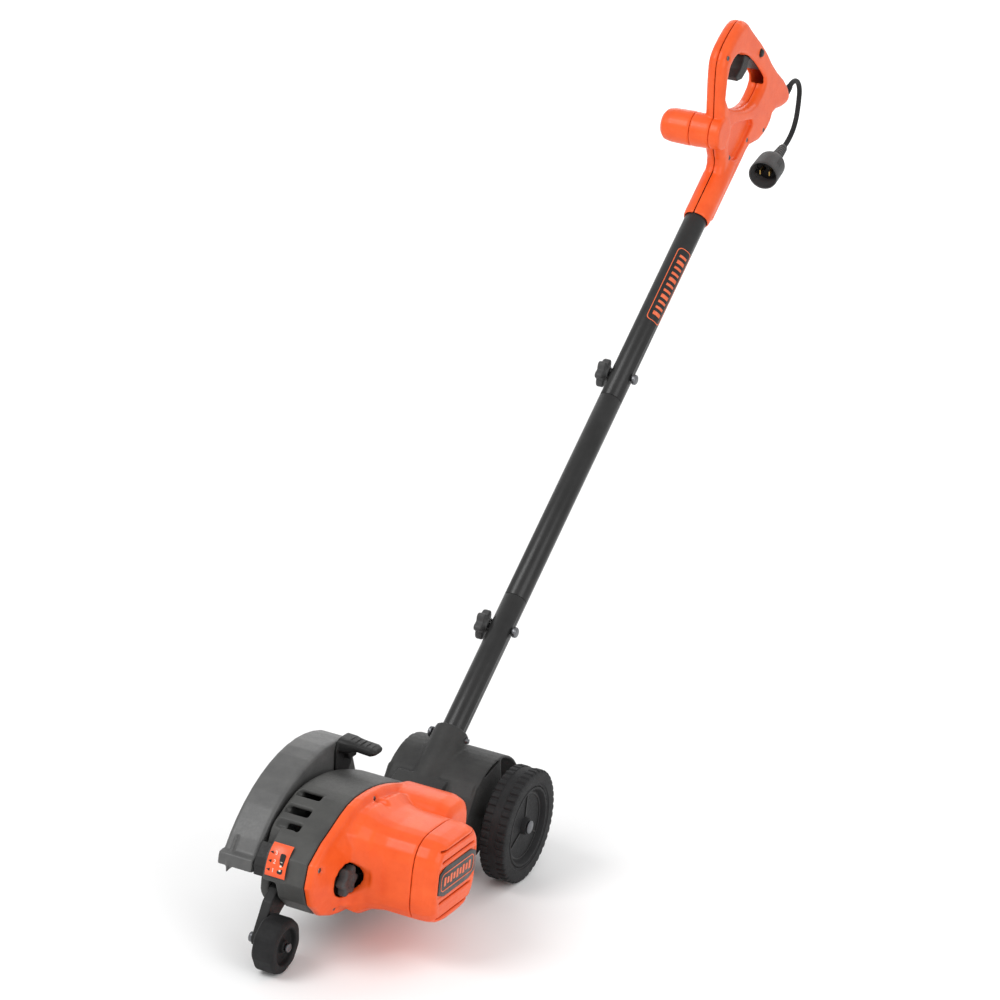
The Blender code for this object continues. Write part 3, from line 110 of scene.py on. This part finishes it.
def studio():
    mesh = bpy.data.meshes.new("floor")
    bm = bmesh.new()
    corners = [bm.verts.new((x, y, 0.0)) for x, y in ((-9, -9), (9, -9), (9, 9), (-9, 9))]
    bm.faces.new(corners)
    bm.to_mesh(mesh)
    bm.free()
    floor = bpy.data.objects.new("floor", mesh)
    SCENE.collection.objects.link(floor)
    floor.data.materials.append(plain("floor_paper", (0.93, 0.93, 0.93), 0.9))
    area_light("key", (-1.6, -2.4, 3.0), (0.0, 0.0, 0.3), (1.8, 1.8), 62.0)
    area_light("fill", (2.6, -1.4, 1.6), (0.0, 0.0, 0.3), (1.6, 2.2), 26.0)
    area_light("backdrop", (-2.4, 5.2, 2.6), (-2.4, 5.2, 0.0), (4.0, 4.0), 95.0)
    area_light("back", (0.6, 2.6, 2.4), (0.0, 0.1, 0.4), (2.0, 1.4), 14.0)
    world = bpy.data.worlds.new("studio")
    world.use_nodes = True
    world.node_tree.nodes["Background"].inputs["Color"].default_value = (1.0, 1.0, 1.0, 1.0)
    world.node_tree.nodes["Background"].inputs["Strength"].default_value = 0.74
    SCENE.world = world
    SCENE.view_settings.view_transform = "Standard"


# ---- materials ----------------------------------------------------------------------------------
def linear(value):
    value /= 255.0
    return value / 12.92 if value <= 0.04045 else ((value + 0.055) / 1.055) ** 2.4


def colour(red, green, blue):
    return (linear(red), linear(green), linear(blue), 1.0)


def plain(name, tint, rough):
    made = bpy.data.materials.new(name)
    made.use_nodes = True
    shader = made.node_tree.nodes["Principled BSDF"]
    shader.inputs["Base Color"].default_value = (*tint, 1.0)
    shader.inputs["Roughness"].default_value = rough
    return made


def surface(name, dark, light, rough, metallic=0.0, grain=900.0, depth=0.05, mottle=38.0,
            stretch=(1, 1, 1), specular=0.5, coat=0.0, coat_rough=0.1):
    """Moulded or finished surface: mottled colour, uneven gloss and a fine bump, at the sizes given."""
    made = bpy.data.materials.new(name)
    made.use_nodes = True
    tree = made.node_tree
    shader = tree.nodes["Principled BSDF"]
    shader.inputs["Metallic"].default_value = metallic
    shader.inputs["Specular IOR Level"].default_value = specular
    shader.inputs["Coat Weight"].default_value = coat
    shader.inputs["Coat Roughness"].default_value = coat_rough
    spot = tree.nodes.new("ShaderNodeTexCoord")
    scale = tree.nodes.new("ShaderNodeMapping")
    scale.inputs["Scale"].default_value = stretch
    tree.links.new(spot.outputs["Object"], scale.inputs["Vector"])

    def noise(size, detail, roughness=0.5):
        node = tree.nodes.new("ShaderNodeTexNoise")
        node.inputs["Scale"].default_value = size
        node.inputs["Detail"].default_value = detail
        node.inputs["Roughness"].default_value = roughness
        tree.links.new(scale.outputs["Vector"], node.inputs["Vector"])
        return node.outputs["Fac"]

    broad = noise(mottle, 4.0, 0.62)
    fine = noise(grain, 2.0)
    tint = tree.nodes.new("ShaderNodeValToRGB")
    tint.color_ramp.elements[0].position = 0.30
    tint.color_ramp.elements[0].color = dark
    tint.color_ramp.elements[1].position = 0.72
    tint.color_ramp.elements[1].color = light
    tree.links.new(broad, tint.inputs["Fac"])
    tree.links.new(tint.outputs["Color"], shader.inputs["Base Color"])
    gloss = tree.nodes.new("ShaderNodeMapRange")
    gloss.inputs["From Min"].default_value = 0.3
    gloss.inputs["From Max"].default_value = 0.7
    gloss.inputs["To Min"].default_value = rough - 0.05
    gloss.inputs["To Max"].default_value = rough + 0.07
    tree.links.new(noise(grain * 0.35, 3.0), gloss.inputs["Value"])
    tree.links.new(gloss.outputs["Result"], shader.inputs["Roughness"])
    bump = tree.nodes.new("ShaderNodeBump")
    bump.inputs["Strength"].default_value = depth
    bump.inputs["Distance"].default_value = 0.0006
    tree.links.new(fine, bump.inputs["Height"])
    tree.links.new(bump.outputs["Normal"], shader.inputs["Normal"])
    return made


ORANGE = surface("orange_shell", colour(229, 82, 25), colour(241, 96, 38), 0.34, grain=1300, depth=0.14,
                 specular=0.36)
GREY = surface("guard_grey", colour(78, 78, 78), colour(92, 92, 91), 0.38, grain=1100, depth=0.30,
               specular=0.42)
CHARCOAL = surface("case_grey", colour(62, 62, 61), colour(74, 74, 72), 0.48, grain=1100, depth=0.28,
                   specular=0.3)
HOOD = surface("hood_grey", colour(44, 44, 44), colour(56, 56, 55), 0.50, grain=1100, depth=0.28,
               specular=0.28)
BLACK = surface("black_plastic", colour(28, 28, 28), colour(38, 38, 38), 0.46, grain=1200, depth=0.25,
                specular=0.28)
KNOB = surface("knob_grey", colour(58, 58, 58), colour(72, 72, 72), 0.50, grain=1200, depth=0.25,
               specular=0.3)
PAINT = surface("tube_paint", colour(28, 28, 28), colour(38, 38, 38), 0.34, grain=1600, depth=0.10,
                specular=0.3, coat=0.12, coat_rough=0.2)
RUBBER = surface("black_rubber", colour(24, 24, 25), colour(34, 34, 35), 0.60, grain=1500, depth=0.45,
                 specular=0.25)
TYRE = surface("tyre", colour(26, 26, 27), colour(38, 38, 39), 0.62, grain=1300, depth=0.5, mottle=60,
               specular=0.2)
STEEL = surface("bright_steel", colour(168, 170, 172), colour(200, 202, 204), 0.28, 1.0, grain=700,
                depth=0.08, stretch=(1, 8, 8))
DARK_STEEL = surface("dark_steel", colour(92, 93, 96), colour(124, 125, 128), 0.36, 1.0, grain=700,
                     depth=0.12)
COPPER = surface("copper", colour(178, 98, 60), colour(206, 124, 82), 0.34, 1.0, grain=800, depth=0.15)
BRASS = surface("brass", colour(186, 152, 84), colour(214, 182, 110), 0.30, 1.0, grain=700, depth=0.08)
ALLOY = surface("cast_alloy", colour(150, 151, 152), colour(176, 177, 178), 0.5, 1.0, grain=500,
                depth=0.35)
CARBON = surface("carbon", colour(36, 36, 38), colour(50, 50, 52), 0.55, grain=900, depth=0.2)
LABEL = surface("label_orange", colour(238, 84, 34), colour(246, 94, 44), 0.34, grain=700, depth=0.05)
PLATE = surface("plate_black", colour(24, 24, 24), colour(34, 34, 34), 0.30, grain=900, depth=0.06)
# Black ink for the label's print, also used as painted shade in the screws' cross recesses.
INK_AND_PAINTED_SHADE = surface("ink_and_painted_shade_black", colour(16, 16, 16), colour(26, 26, 26), 0.42, grain=700, depth=0.05)
PALE_INK = surface("ink_pale", colour(222, 206, 190), colour(238, 224, 208), 0.45, grain=700, depth=0.05)
ORANGE_INK = surface("ink_orange", colour(222, 96, 52), colour(238, 112, 64), 0.42, grain=700, depth=0.05)

FINISHES = {
    ORANGE: "motor_housing end_cap handle_left handle_right front_grip_cap",
    LABEL: "depth_label",
    GREY: "blade_guard",
    CHARCOAL: "gear_housing rear_bearing_bracket",
    HOOD: "rear_hood",
    BLACK: "depth_lever front_wheel_arm trigger switch_body lock_button fan",
    PLATE: "nameplate",
    PAINT: "lower_tube middle_tube upper_tube",
    TYRE: "front_wheel",
    RUBBER: "plug_body debris_flap internal_lead right_rear_hub left_rear_hub",
    STEEL: "edger_blade blade_nut blade_spindle outer_flange inner_flange armature_shaft flap_pin arm_pin "
           "motor_front_bearing motor_rear_bearing spindle_inner_bearing spindle_outer_bearing",
    DARK_STEEL: "pinion driven_gear armature_core stator_core rear_axle front_axle socket_bolt "
                "lower_tube_bolt upper_tube_bolt",
    COPPER: "commutator field_windings",
    BRASS: "plug_pins",
    ALLOY: "gear_plate",
    CARBON: "brush_left brush_right",
}
SHELLS = {"motor_housing": 0.0014, "gear_housing": 0.0014, "blade_guard": 0.0013, "rear_hood": 0.0014,
          "handle_left": 0.0012, "handle_right": 0.0012, "front_grip_cap": 0.0011, "depth_lever": 0.0009,
          "trigger": 0.0009, "front_wheel_arm": 0.0008, "front_wheel": 0.0009, "end_cap": 0.0011}
SMOOTHING = {"motor_housing": 14, "handle_left": 12, "handle_right": 12, "front_grip_cap": 9,
             "rear_hood": 8, "front_wheel": 12}
ROUND = {"nameplate": 0.0002, "depth_label": 0.0001}


def weld(node):
    made = node.modifiers.new("weld", "WELD")
    made.merge_threshold = 0.00001


def plug_face():
    """The plug's blades are brass and the disc they stand in is dark."""
    mesh = NODES["plug_pins"].data
    mesh.materials.append(RUBBER)
    along = [vertex.co.dot(PLUG_WAY) for vertex in mesh.vertices]
    for face in mesh.polygons:
        if max(along[i] for i in face.vertices) < min(along) + 0.0019:
            face.material_index = 1


def finish_nodes():
    """Every CAD node gets its finish; moulded shells get rounded edges, the rest a fine bevel."""
    for finish, names in FINISHES.items():
        for name in names.split():
            node = NODES[name]
            node.data.materials.clear()
            node.data.materials.append(finish)
            for face in node.data.polygons:
                face.use_smooth = True
                face.material_index = 0
            weld(node)
            if name in SHELLS:
                remesh = node.modifiers.new("mould", "REMESH")
                remesh.mode = "VOXEL"
                remesh.voxel_size = SHELLS[name]
                remesh.use_smooth_shade = True
                soften = node.modifiers.new("soften", "SMOOTH")
                soften.factor = 0.5
                soften.iterations = SMOOTHING.get(name, 5)
            else:
                bevel = node.modifiers.new("edge", "BEVEL")
                bevel.width = ROUND.get(name, 0.0004)
                bevel.segments = 2
                bevel.limit_method = "ANGLE"
                bevel.angle_limit = radians(32)
                bevel.use_clamp_overlap = True
                bevel.harden_normals = True


# ---- mesh helpers -------------------------------------------------------------------------------
def piece(name, bm, finish, body, smooth=True):
    bmesh.ops.recalc_face_normals(bm, faces=bm.faces)
    mesh = bpy.data.meshes.new(name)
    bm.to_mesh(mesh)
    bm.free()
    made = bpy.data.objects.new(name, mesh)
    SCENE.collection.objects.link(made)
    mesh.materials.append(finish)
    for face in mesh.polygons:
        face.use_smooth = smooth
    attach(made, body)
    return made


def soften_edges(made, width, segments=2, angle=30):
    bevel = made.modifiers.new("edge", "BEVEL")
    bevel.width = width
    bevel.segments = segments
    bevel.limit_method = "ANGLE"
    bevel.angle_limit = radians(angle)
    bevel.harden_normals = True


def frame_of(axis):
    axis = Vector(axis).normalized()
    side = Vector((0, 0, 1)) if abs(axis.z) < 0.9 else Vector((0, 1, 0))
    first = axis.cross(side).normalized()
    return axis, first, axis.cross(first)


def bridge(bm, rings, close=False):
    rows = [[bm.verts.new(p) for p in ring] for ring in rings]
    pairs = list(zip(rows, rows[1:]))
    if close:
        pairs.append((rows[-1], rows[0]))
    for low, high in pairs:
        for i in range(len(low)):
            j = (i + 1) % len(low)
            bm.faces.new((low[i], low[j], high[j], high[i]))
    if not close:
        bm.faces.new(rows[0])
        bm.faces.new(list(reversed(rows[-1])))


def turned(bm, profile, centre, axis, sides=48, close=False, reach=None):
    """Rings of (along, radius) about an axis; reach(turn, along) scales the radius."""
    axis, first, second = frame_of(axis)
    rings = []
    for along, radius in profile:
        ring = []
        for k in range(sides):
            turn = 2 * pi * k / sides
            r = max(radius, 0.00001) * (reach(turn, along) if reach else 1.0)
            ring.append(centre + axis * along + (first * cos(turn) + second * sin(turn)) * r)
        rings.append(ring)
    bridge(bm, rings, close)


def prism(bm, outline, start, depth):
    """outline of points, pushed by depth."""
    low = [Vector(p) + start for p in outline]
    bridge(bm, [low, [p + depth for p in low]])


def rounded(width, height, radius, steps=5):
    """Rounded rectangle about the origin, in 2D."""
    points = []
    for cx, cy, start in ((1, 1, 0), (-1, 1, 90), (-1, -1, 180), (1, -1, 270)):
        for k in range(steps + 1):
            turn = radians(start + 90 * k / steps)
            points.append((cx * (width / 2 - radius) + radius * cos(turn),
                           cy * (height / 2 - radius) + radius * sin(turn)))
    return points


# ---- cord ---------------------------------------------------------------------------------------
def smooth_path(points, per_span=4):
    """Points read from a Catmull-Rom curve through the route."""
    padded = [points[0], *points, points[-1]]
    read = []
    for i in range(1, len(padded) - 2):
        a, b, c, d = (Vector(p) for p in padded[i - 1:i + 3])
        for k in range(per_span):
            t = k / per_span
            read.append(0.5 * (2 * b + (c - a) * t + (2 * a - 5 * b + 4 * c - d) * t * t
                               + (3 * b - a - 3 * c + d) * t ** 3))
    read.append(Vector(points[-1]))
    return read


def cord():
    route = [p + DATUM for p in smooth_path(CORD_ROUTE)]
    data = bpy.data.curves.new("mains_cord", "CURVE")
    data.dimensions = "3D"
    data.bevel_depth = CORD_D / 2
    data.bevel_resolution = 5
    data.use_fill_caps = True
    spline = data.splines.new("POLY")
    spline.points.add(len(route) - 1)
    for slot, point in zip(spline.points, route):
        slot.co = (*point, 1.0)
    spline.use_smooth = True
    made = bpy.data.objects.new("mains_cord", data)
    SCENE.collection.objects.link(made)
    data.materials.append(RUBBER)
    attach(made, "machine")
    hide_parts("power_cord")
    plug = shroud(route)
    start = route[0]
    way = (route[1] - start).normalized()
    profile = [(0.0, 0.0054)]
    rows = 7
    for k in range(rows):
        s = STRAIN_LENGTH * (0.06 + 0.90 * k / rows)
        step = STRAIN_LENGTH * 0.90 / rows
        r = 0.0056 - 0.0011 * k / rows
        profile += [(s, r), (s + step * 0.55, r - 0.0001), (s + step * 0.60, r - 0.0010),
                    (s + step * 0.95, r - 0.0010)]
    profile.append((STRAIN_LENGTH, 0.0043))
    bm = bmesh.new()
    turned(bm, profile, start - way * (STRAIN_LENGTH + 0.0003), way, 32)
    boot = piece("cord_boot", bm, RUBBER, "machine")
    soften_edges(boot, 0.0002)
    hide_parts("strain_relief")


def shroud(route):
    """Plug body: ribbed neck, stepped shoulder and a deep round shroud with flats."""
    seat = route[-1] + (route[-1] - route[-2]).normalized() * 0.0009
    profile = [(0.0, 0.0044), (0.0004, 0.0052)]
    for k in range(6):
        s = 0.004 + 0.0050 * k
        r = 0.0058 + 0.0028 * (s / 0.040)
        profile += [(s, r), (s + 0.0030, r + 0.0001), (s + 0.0034, r - 0.0011), (s + 0.0046, r - 0.0010)]
    profile += [(0.036, 0.0084), (0.0405, 0.0088), (0.0420, 0.0100), (0.0430, 0.0148), (0.0445, 0.0170),
                (0.0480, 0.0187), (0.0530, 0.0191), (0.0795, 0.0197), (0.0815, 0.0195), (0.0820, 0.0189),
                (0.0815, 0.0181), (0.0790, 0.0179), (0.0602, 0.0175), (0.0600, 0.0)]
    bm = bmesh.new()
    turned(bm, profile, seat, PLUG_WAY, 64)
    made = piece("plug_shroud", bm, KNOB, "machine")
    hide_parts("plug_body")
    bm = bmesh.new()
    axis, first, second = frame_of(PLUG_WAY)
    for turn in (0.6, 0.6 + pi):
        way = first * cos(turn) + second * sin(turn)
        across = axis.cross(way)
        pad_plan = ((0.0150, -0.0042), (0.0193, -0.0036), (0.0193, 0.0036), (0.0150, 0.0042))
        outline = [way * r + across * s for r, s in pad_plan]
        bridge(bm, [[seat + axis * h + p * grow for p in outline] for h, grow in
                    ((0.0455, 0.84), (0.0490, 1.01), (0.0660, 1.01), (0.0680, 0.97))])
    pad = piece("plug_finger_pads", bm, KNOB, "machine")
    soften_edges(pad, 0.0006)
    return made


# ---- wheels -------------------------------------------------------------------------------------
STEPS_PER_LUG = 6


def tyre(name, node, body, lugs=44):
    """Rubber tyre with square shoulder lugs and a plain band between them."""
    low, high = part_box(node)
    centre = Vector(((low.x + high.x) / 2, (low.y + high.y) / 2, (low.z + high.z) / 2))
    radius = (high.z - low.z) / 2
    half = (high.x - low.x) / 2
    inner = 0.0480
    sides = lugs * STEPS_PER_LUG
    lugged = ((-half, -0.0062), (-half + 0.0004, -0.0018), (-half + 0.0012, -0.0005), (-half + 0.0026, 0.0),
              (-half * 0.34, 0.0), (-half * 0.30, -0.0010), (half * 0.30, -0.0010), (half * 0.34, 0.0),
              (half - 0.0026, 0.0), (half - 0.0012, -0.0005), (half - 0.0004, -0.0018), (half, -0.0062))
    wall = ((half - 0.0002, inner + 0.0035), (half - 0.0011, inner + 0.0029),
            (half - 0.0011, inner + 0.0004), (half - 0.0016, inner),
            (-half + 0.0016, inner), (-half + 0.0011, inner + 0.0004),
            (-half + 0.0011, inner + 0.0029), (-half + 0.0002, inner + 0.0035))
    bm = bmesh.new()
    rows = []
    for k in range(sides):
        turn = 2 * pi * k / sides
        groove = k % STEPS_PER_LUG >= 4
        ring = []
        for x, drop in lugged:
            cut = 0.0016 if groove and abs(x) > half * 0.32 and abs(x) < half - 0.0001 else 0.0
            ring.append((x, radius + drop - cut))
        ring += list(wall)
        rows.append([centre + Vector((x, r * cos(turn), r * sin(turn))) for x, r in ring])
    bridge(bm, rows, close=True)
    made = piece(name, bm, TYRE, body)
    soften_edges(made, 0.00035, 1, 28)
    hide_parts(node)
    return centre, half


def hub_details(name, centre, half, body, sides):
    """Raised ring and three short ribs on a wheel's dished face."""
    for side in sides:
        bm = bmesh.new()
        face = centre + Vector((side * (half - 0.0072), 0, 0))
        out = Vector((side, 0, 0))
        turned(bm, ((0.0, 0.0405), (0.0009, 0.0405), (0.0012, 0.0400), (0.0012, 0.0386), (0.0009, 0.0381),
                    (0.0, 0.0381)), face, out, 72, close=True)
        for k in range(3):
            turn = radians(90 + 120 * k)
            way = Vector((0, cos(turn), sin(turn)))
            across = out.cross(way)
            spot = face + way * 0.0245
            rib = ((-0.0130, -0.0012), (0.0130, -0.0009), (0.0130, 0.0009), (-0.0130, 0.0012))
            outline = [way * a + across * b for a, b in rib]
            bridge(bm, [[spot + p + out * h for p in outline] for h in (-0.0004, 0.0015)])
        ring = piece("%s_face_%s" % (name, "right" if side > 0 else "left"), bm, BLACK, body)
        soften_edges(ring, 0.0003)


# ---- knobs --------------------------------------------------------------------------------------
def knob(name, node, body, centre, way, radius):
    """Six-lobed hand knob: crowned lobes, a dished middle and a foot."""
    def lobed(turn, along):
        return 0.87 + 0.13 * cos(6 * turn) if along > 0.0036 and along < 0.0134 else 1.0
    bm = bmesh.new()
    profile = ((0.0075, 0.0001), (0.0075, 0.0034), (0.0, 0.0034), (0.0, 0.0083), (0.0004, 0.0086),
               (0.0032, 0.0090), (0.0038, radius * 0.93), (0.0044, radius * 0.975), (0.0054, radius),
               (0.0104, radius), (0.0118, radius * 0.985), (0.0128, radius * 0.945),
               (0.0133, radius * 0.88), (0.0136, 0.0086), (0.0134, 0.0078), (0.0124, 0.0072),
               (0.0122, 0.0001))
    turned(bm, profile, centre, way, 96, reach=lobed)
    made = piece(name, bm, KNOB, body)
    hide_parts(node)
    return made


# ---- screws -------------------------------------------------------------------------------------
def screws():
    """Cross-recessed pan heads seated in the housing's and handle's counterbores; each cross recess is
    painted shade, a black cross set in the head.
    """
    spots = [("housing_screw_%d" % i, place(HOUSING_SCREW_X, y, z), 0.0034)
             for i, (y, z) in enumerate(HOUSING_SCREWS)]
    spots += [("handle_screw_%d" % i, place(HANDLE_SCREW_X, y, z), 0.0031)
              for i, (y, z) in enumerate(HANDLE_SCREWS)]
    for name, spot, radius in spots:
        bm = bmesh.new()
        head = ((0.0, radius), (0.0006, radius), (0.0012, radius * 0.92), (0.0016, radius * 0.7),
                (0.0018, radius * 0.36), (0.0011, radius * 0.30), (0.0008, radius * 0.1))
        turned(bm, head, spot, (1, 0, 0), 24)
        piece(name, bm, DARK_STEEL, "machine")
        # Painted shade: the cross recess is not cut, a thin black cross stands in the head's dimple instead.
        arm = radius * 0.62
        bm = bmesh.new()
        for a, b in ((arm, radius * 0.12), (radius * 0.12, arm)):
            outline = [Vector((0, y, z)) for y, z in ((-a, -b), (a, -b), (a, b), (-a, b))]
            prism(bm, outline, spot + Vector((0.0012, 0, 0)), Vector((0.00064, 0, 0)))
        piece(name + "_recess_painted_shade", bm, INK_AND_PAINTED_SHADE, "machine", smooth=False)


# ---- lever, pointer, labels ---------------------------------------------------------------------
def lever_ribs():
    """Low ribs moulded across the lever's grip."""
    for k in range(5):
        x = -0.0350 + 0.0066 * k
        top = 0.1931 - 0.11 * (x + 0.036)
        half = 0.0125 - 0.0022 * k / 4
        bm = bmesh.new()
        rings = []
        for j in range(9):
            turn = pi * j / 8
            y = 0.012 + half * cos(turn)
            rings.append([place(x + a, y, top - 0.004 + 0.0046 * sin(turn) * b)
                          for a, b in ((-0.0011, 0.80), (-0.0006, 1.0), (0.0006, 1.0), (0.0011, 0.80))])
        bridge(bm, rings)
        rib = piece("lever_rib_%d" % k, bm, BLACK, "lever")
        soften_edges(rib, 0.0003)


def pointer_tick():
    """The orange tick on the depth pointer."""
    outline = [place(-0.0340, -0.1739, 0.1010), place(-0.0306, -0.1739, 0.1010),
               place(-0.0306, -0.1726, 0.1062), place(-0.0340, -0.1726, 0.1062)]
    bm = bmesh.new()
    prism(bm, outline, Vector((0, 0, 0)), Vector((0, -0.0006, -0.0002)))
    piece("pointer_tick", bm, ORANGE_INK, "lever", smooth=False)


def label_front():
    """(height, y) of the depth label's front face, from its foot to its top."""
    points = [(vertex.co.z, vertex.co.y) for vertex in NODES["depth_label"].data.vertices]
    levels = sorted({round(z, 4) for z, _ in points})
    return [(level, min(y for z, y in points if abs(z - level) < 0.0055)) for level in levels]


def label_numeral(name, body, size, spot, rise):
    """A raised numeral on the label's face, which leans by rise in y for each metre up."""
    text = bpy.data.curves.new(name, "FONT")
    text.body = body
    text.size = size
    text.extrude = 0.0002
    text.align_x = "CENTER"
    text.align_y = "CENTER"
    numeral = bpy.data.objects.new(name, text)
    lean = Vector((0, rise, 1)).normalized()
    out = Vector((1, 0, 0)).cross(lean)
    turn = Matrix((Vector((1, 0, 0)), lean, out)).transposed().to_4x4()
    numeral.matrix_world = Matrix.Translation(spot) @ turn
    SCENE.collection.objects.link(numeral)
    text.materials.append(PALE_INK)
    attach(numeral, "machine")


def label_marks():
    """Dark pill with bars, three arrows and plain numerals, at fractions of the label's width and height."""
    low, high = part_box("depth_label")
    stations = label_front()

    def face_line(z):
        for (z0, y0), (z1, y1) in zip(stations, stations[1:]):
            if z0 <= z <= z1:
                return y0 + (y1 - y0) * (z - z0) / max(z1 - z0, 1e-6)
        return stations[0][1] if z < stations[0][0] else stations[-1][1]

    def patch(name, outline, finish):
        bm = bmesh.new()
        points = [Vector((x, face_line(z) - 0.00035, z)) for x, z in outline]
        prism(bm, points, Vector((0, 0, 0)), Vector((0, 0.0005, 0)))
        piece(name, bm, finish, "machine", smooth=False)

    width = high.x - low.x
    tall = high.z - low.z
    middle = (low.z + high.z) / 2
    pill_x = low.x + width * 0.72
    pill = rounded(width * 0.26, tall * 0.66, width * 0.08)
    patch("label_pill", [(pill_x + a, middle - tall * 0.02 + b) for a, b in pill], INK_AND_PAINTED_SHADE)
    for k in range(4):
        bar = rounded(width * 0.10, tall * 0.055, width * 0.02, 3)
        height = middle + tall * (0.20 - 0.145 * k)
        patch("label_bar_%d" % k, [(pill_x + a, height + b) for a, b in bar], PALE_INK)
    for k, level in enumerate((0.78, 0.50, 0.22)):
        z = low.z + tall * level
        tip = [(low.x + width * 0.06, z), (low.x + width * 0.22, z + tall * 0.050),
               (low.x + width * 0.22, z - tall * 0.050)]
        patch("label_mark_%d" % k, tip, INK_AND_PAINTED_SHADE)
        rise = (face_line(z + 0.002) - face_line(z - 0.002)) / 0.004
        spot = Vector((low.x + width * 0.38, face_line(z) - 0.00025, z))
        label_numeral("label_numeral_%d" % k, str(3 - k), tall * 0.20, spot, rise)


def flat_ring(bm, outer, inner, spot, first, second, out, rise):
    """A raised border between two outlines of equal count."""
    def at(outline, height):
        return [spot + first * a + second * b + out * height for a, b in outline]
    bridge(bm, [at(outer, 0.0), at(outer, rise), at(inner, rise), at(inner, 0.0)], close=True)


def nameplate_border():
    low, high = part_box("nameplate")
    middle = Vector((high.x - 0.0002, (low.y + high.y) / 2, (low.z + high.z) / 2))
    width, tall = high.y - low.y, high.z - low.z
    first, second, out = Vector((0, 1, 0)), Vector((0, 0, 1)), Vector((1, 0, 0))
    bm = bmesh.new()
    flat_ring(bm, rounded(width * 0.90, tall * 0.62, tall * 0.20), rounded(width * 0.90 - 0.0022,
              tall * 0.62 - 0.0022, tall * 0.20 - 0.0011), middle, first, second, out, 0.0005)
    piece("nameplate_border", bm, ORANGE_INK, "machine", smooth=False)
    bm = bmesh.new()
    for k in range(9):
        bar = rounded(width * 0.052, tall * (0.22 if k % 2 else 0.30), tall * 0.03, 3)
        spot = middle + first * width * (0.084 * (k - 4))
        prism(bm, [spot + first * a + second * b for a, b in bar], Vector((0, 0, 0)), out * 0.0004)
    piece("nameplate_bars", bm, ORANGE_INK, "machine", smooth=False)


def shaft_decal():
    """Rounded outline with a row of plain bars, printed round the near side of the shaft."""
    toward = Vector((0.62, -0.74, 0.0))
    toward = (toward - SHAFT * toward.dot(SHAFT)).normalized()
    across = SHAFT.cross(toward)
    radius = TUBE_R + 0.0001

    def wrap(along, arc, lift):
        turn = arc / radius
        way = toward * cos(turn) + across * sin(turn)
        return on_shaft(DECAL_ALONG + along) + way * (radius + lift)

    def band(name, outer, inner):
        bm = bmesh.new()
        rows = [[wrap(a, b, lift) for a, b in outline] for outline, lift in
                ((outer, 0.0), (outer, INK_LIFT), (inner, INK_LIFT), (inner, 0.0))]
        bridge(bm, rows, close=True)
        piece(name, bm, ORANGE_INK, "machine")

    def dense(points, step=0.002):
        read = []
        for (a, b), (c, d) in zip(points, points[1:] + points[:1]):
            count = max(1, int((((c - a) ** 2 + (d - b) ** 2) ** 0.5) / step))
            read += [(a + (c - a) * k / count, b + (d - b) * k / count) for k in range(count)]
        return read

    length, width = DECAL_SIZE
    outer = dense(rounded(length, width, 0.0052))
    inner = [(a * (length - 0.0022) / length, b * (width - 0.0022) / width) for a, b in outer]
    band("decal_outline", outer, inner)
    bm = bmesh.new()
    for k in range(11):
        start = -0.0445 + 0.0089 * k
        long = 0.0036 if k % 3 else 0.0052
        rows = []
        for j in range(7):
            arc = -0.0058 + 0.0116 * j / 6
            low, high = start - long / 2, start + long / 2
            rows.append([wrap(low, arc, 0.0), wrap(low, arc, INK_LIFT), wrap(high, arc, INK_LIFT),
                         wrap(high, arc, 0.0)])
        bridge(bm, rows)
    piece("decal_bars", bm, ORANGE_INK, "machine")


# ---- assembly -----------------------------------------------------------------------------------
def main():
    camera()
    cord()
    studio()
    finish_nodes()
    plug_face()
    centre, half = tyre("right_tyre_tread", "right_rear_tyre", "right_rear_wheel")
    hub_details("right_hub", centre, half, "right_rear_wheel", (1, -1))
    tyre("left_tyre_tread", "left_rear_tyre", "left_rear_wheel")
    knob("guide_knob_lobes", "guide_knob", "guide_knob", place(*GUIDE_KNOB), (1, 0, 0), 0.0175)
    for joint, along in (("lower", LOWER_KNOB_ALONG), ("upper", UPPER_KNOB_ALONG)):
        knob(joint + "_knob_lobes", joint + "_tube_knob", joint + "_knob", on_shaft(along, TUBE_KNOB_X),
             (-1, 0, 0), 0.0180)
    screws()
    lever_ribs()
    pointer_tick()
    label_marks()
    nameplate_border()
    shaft_decal()


main()
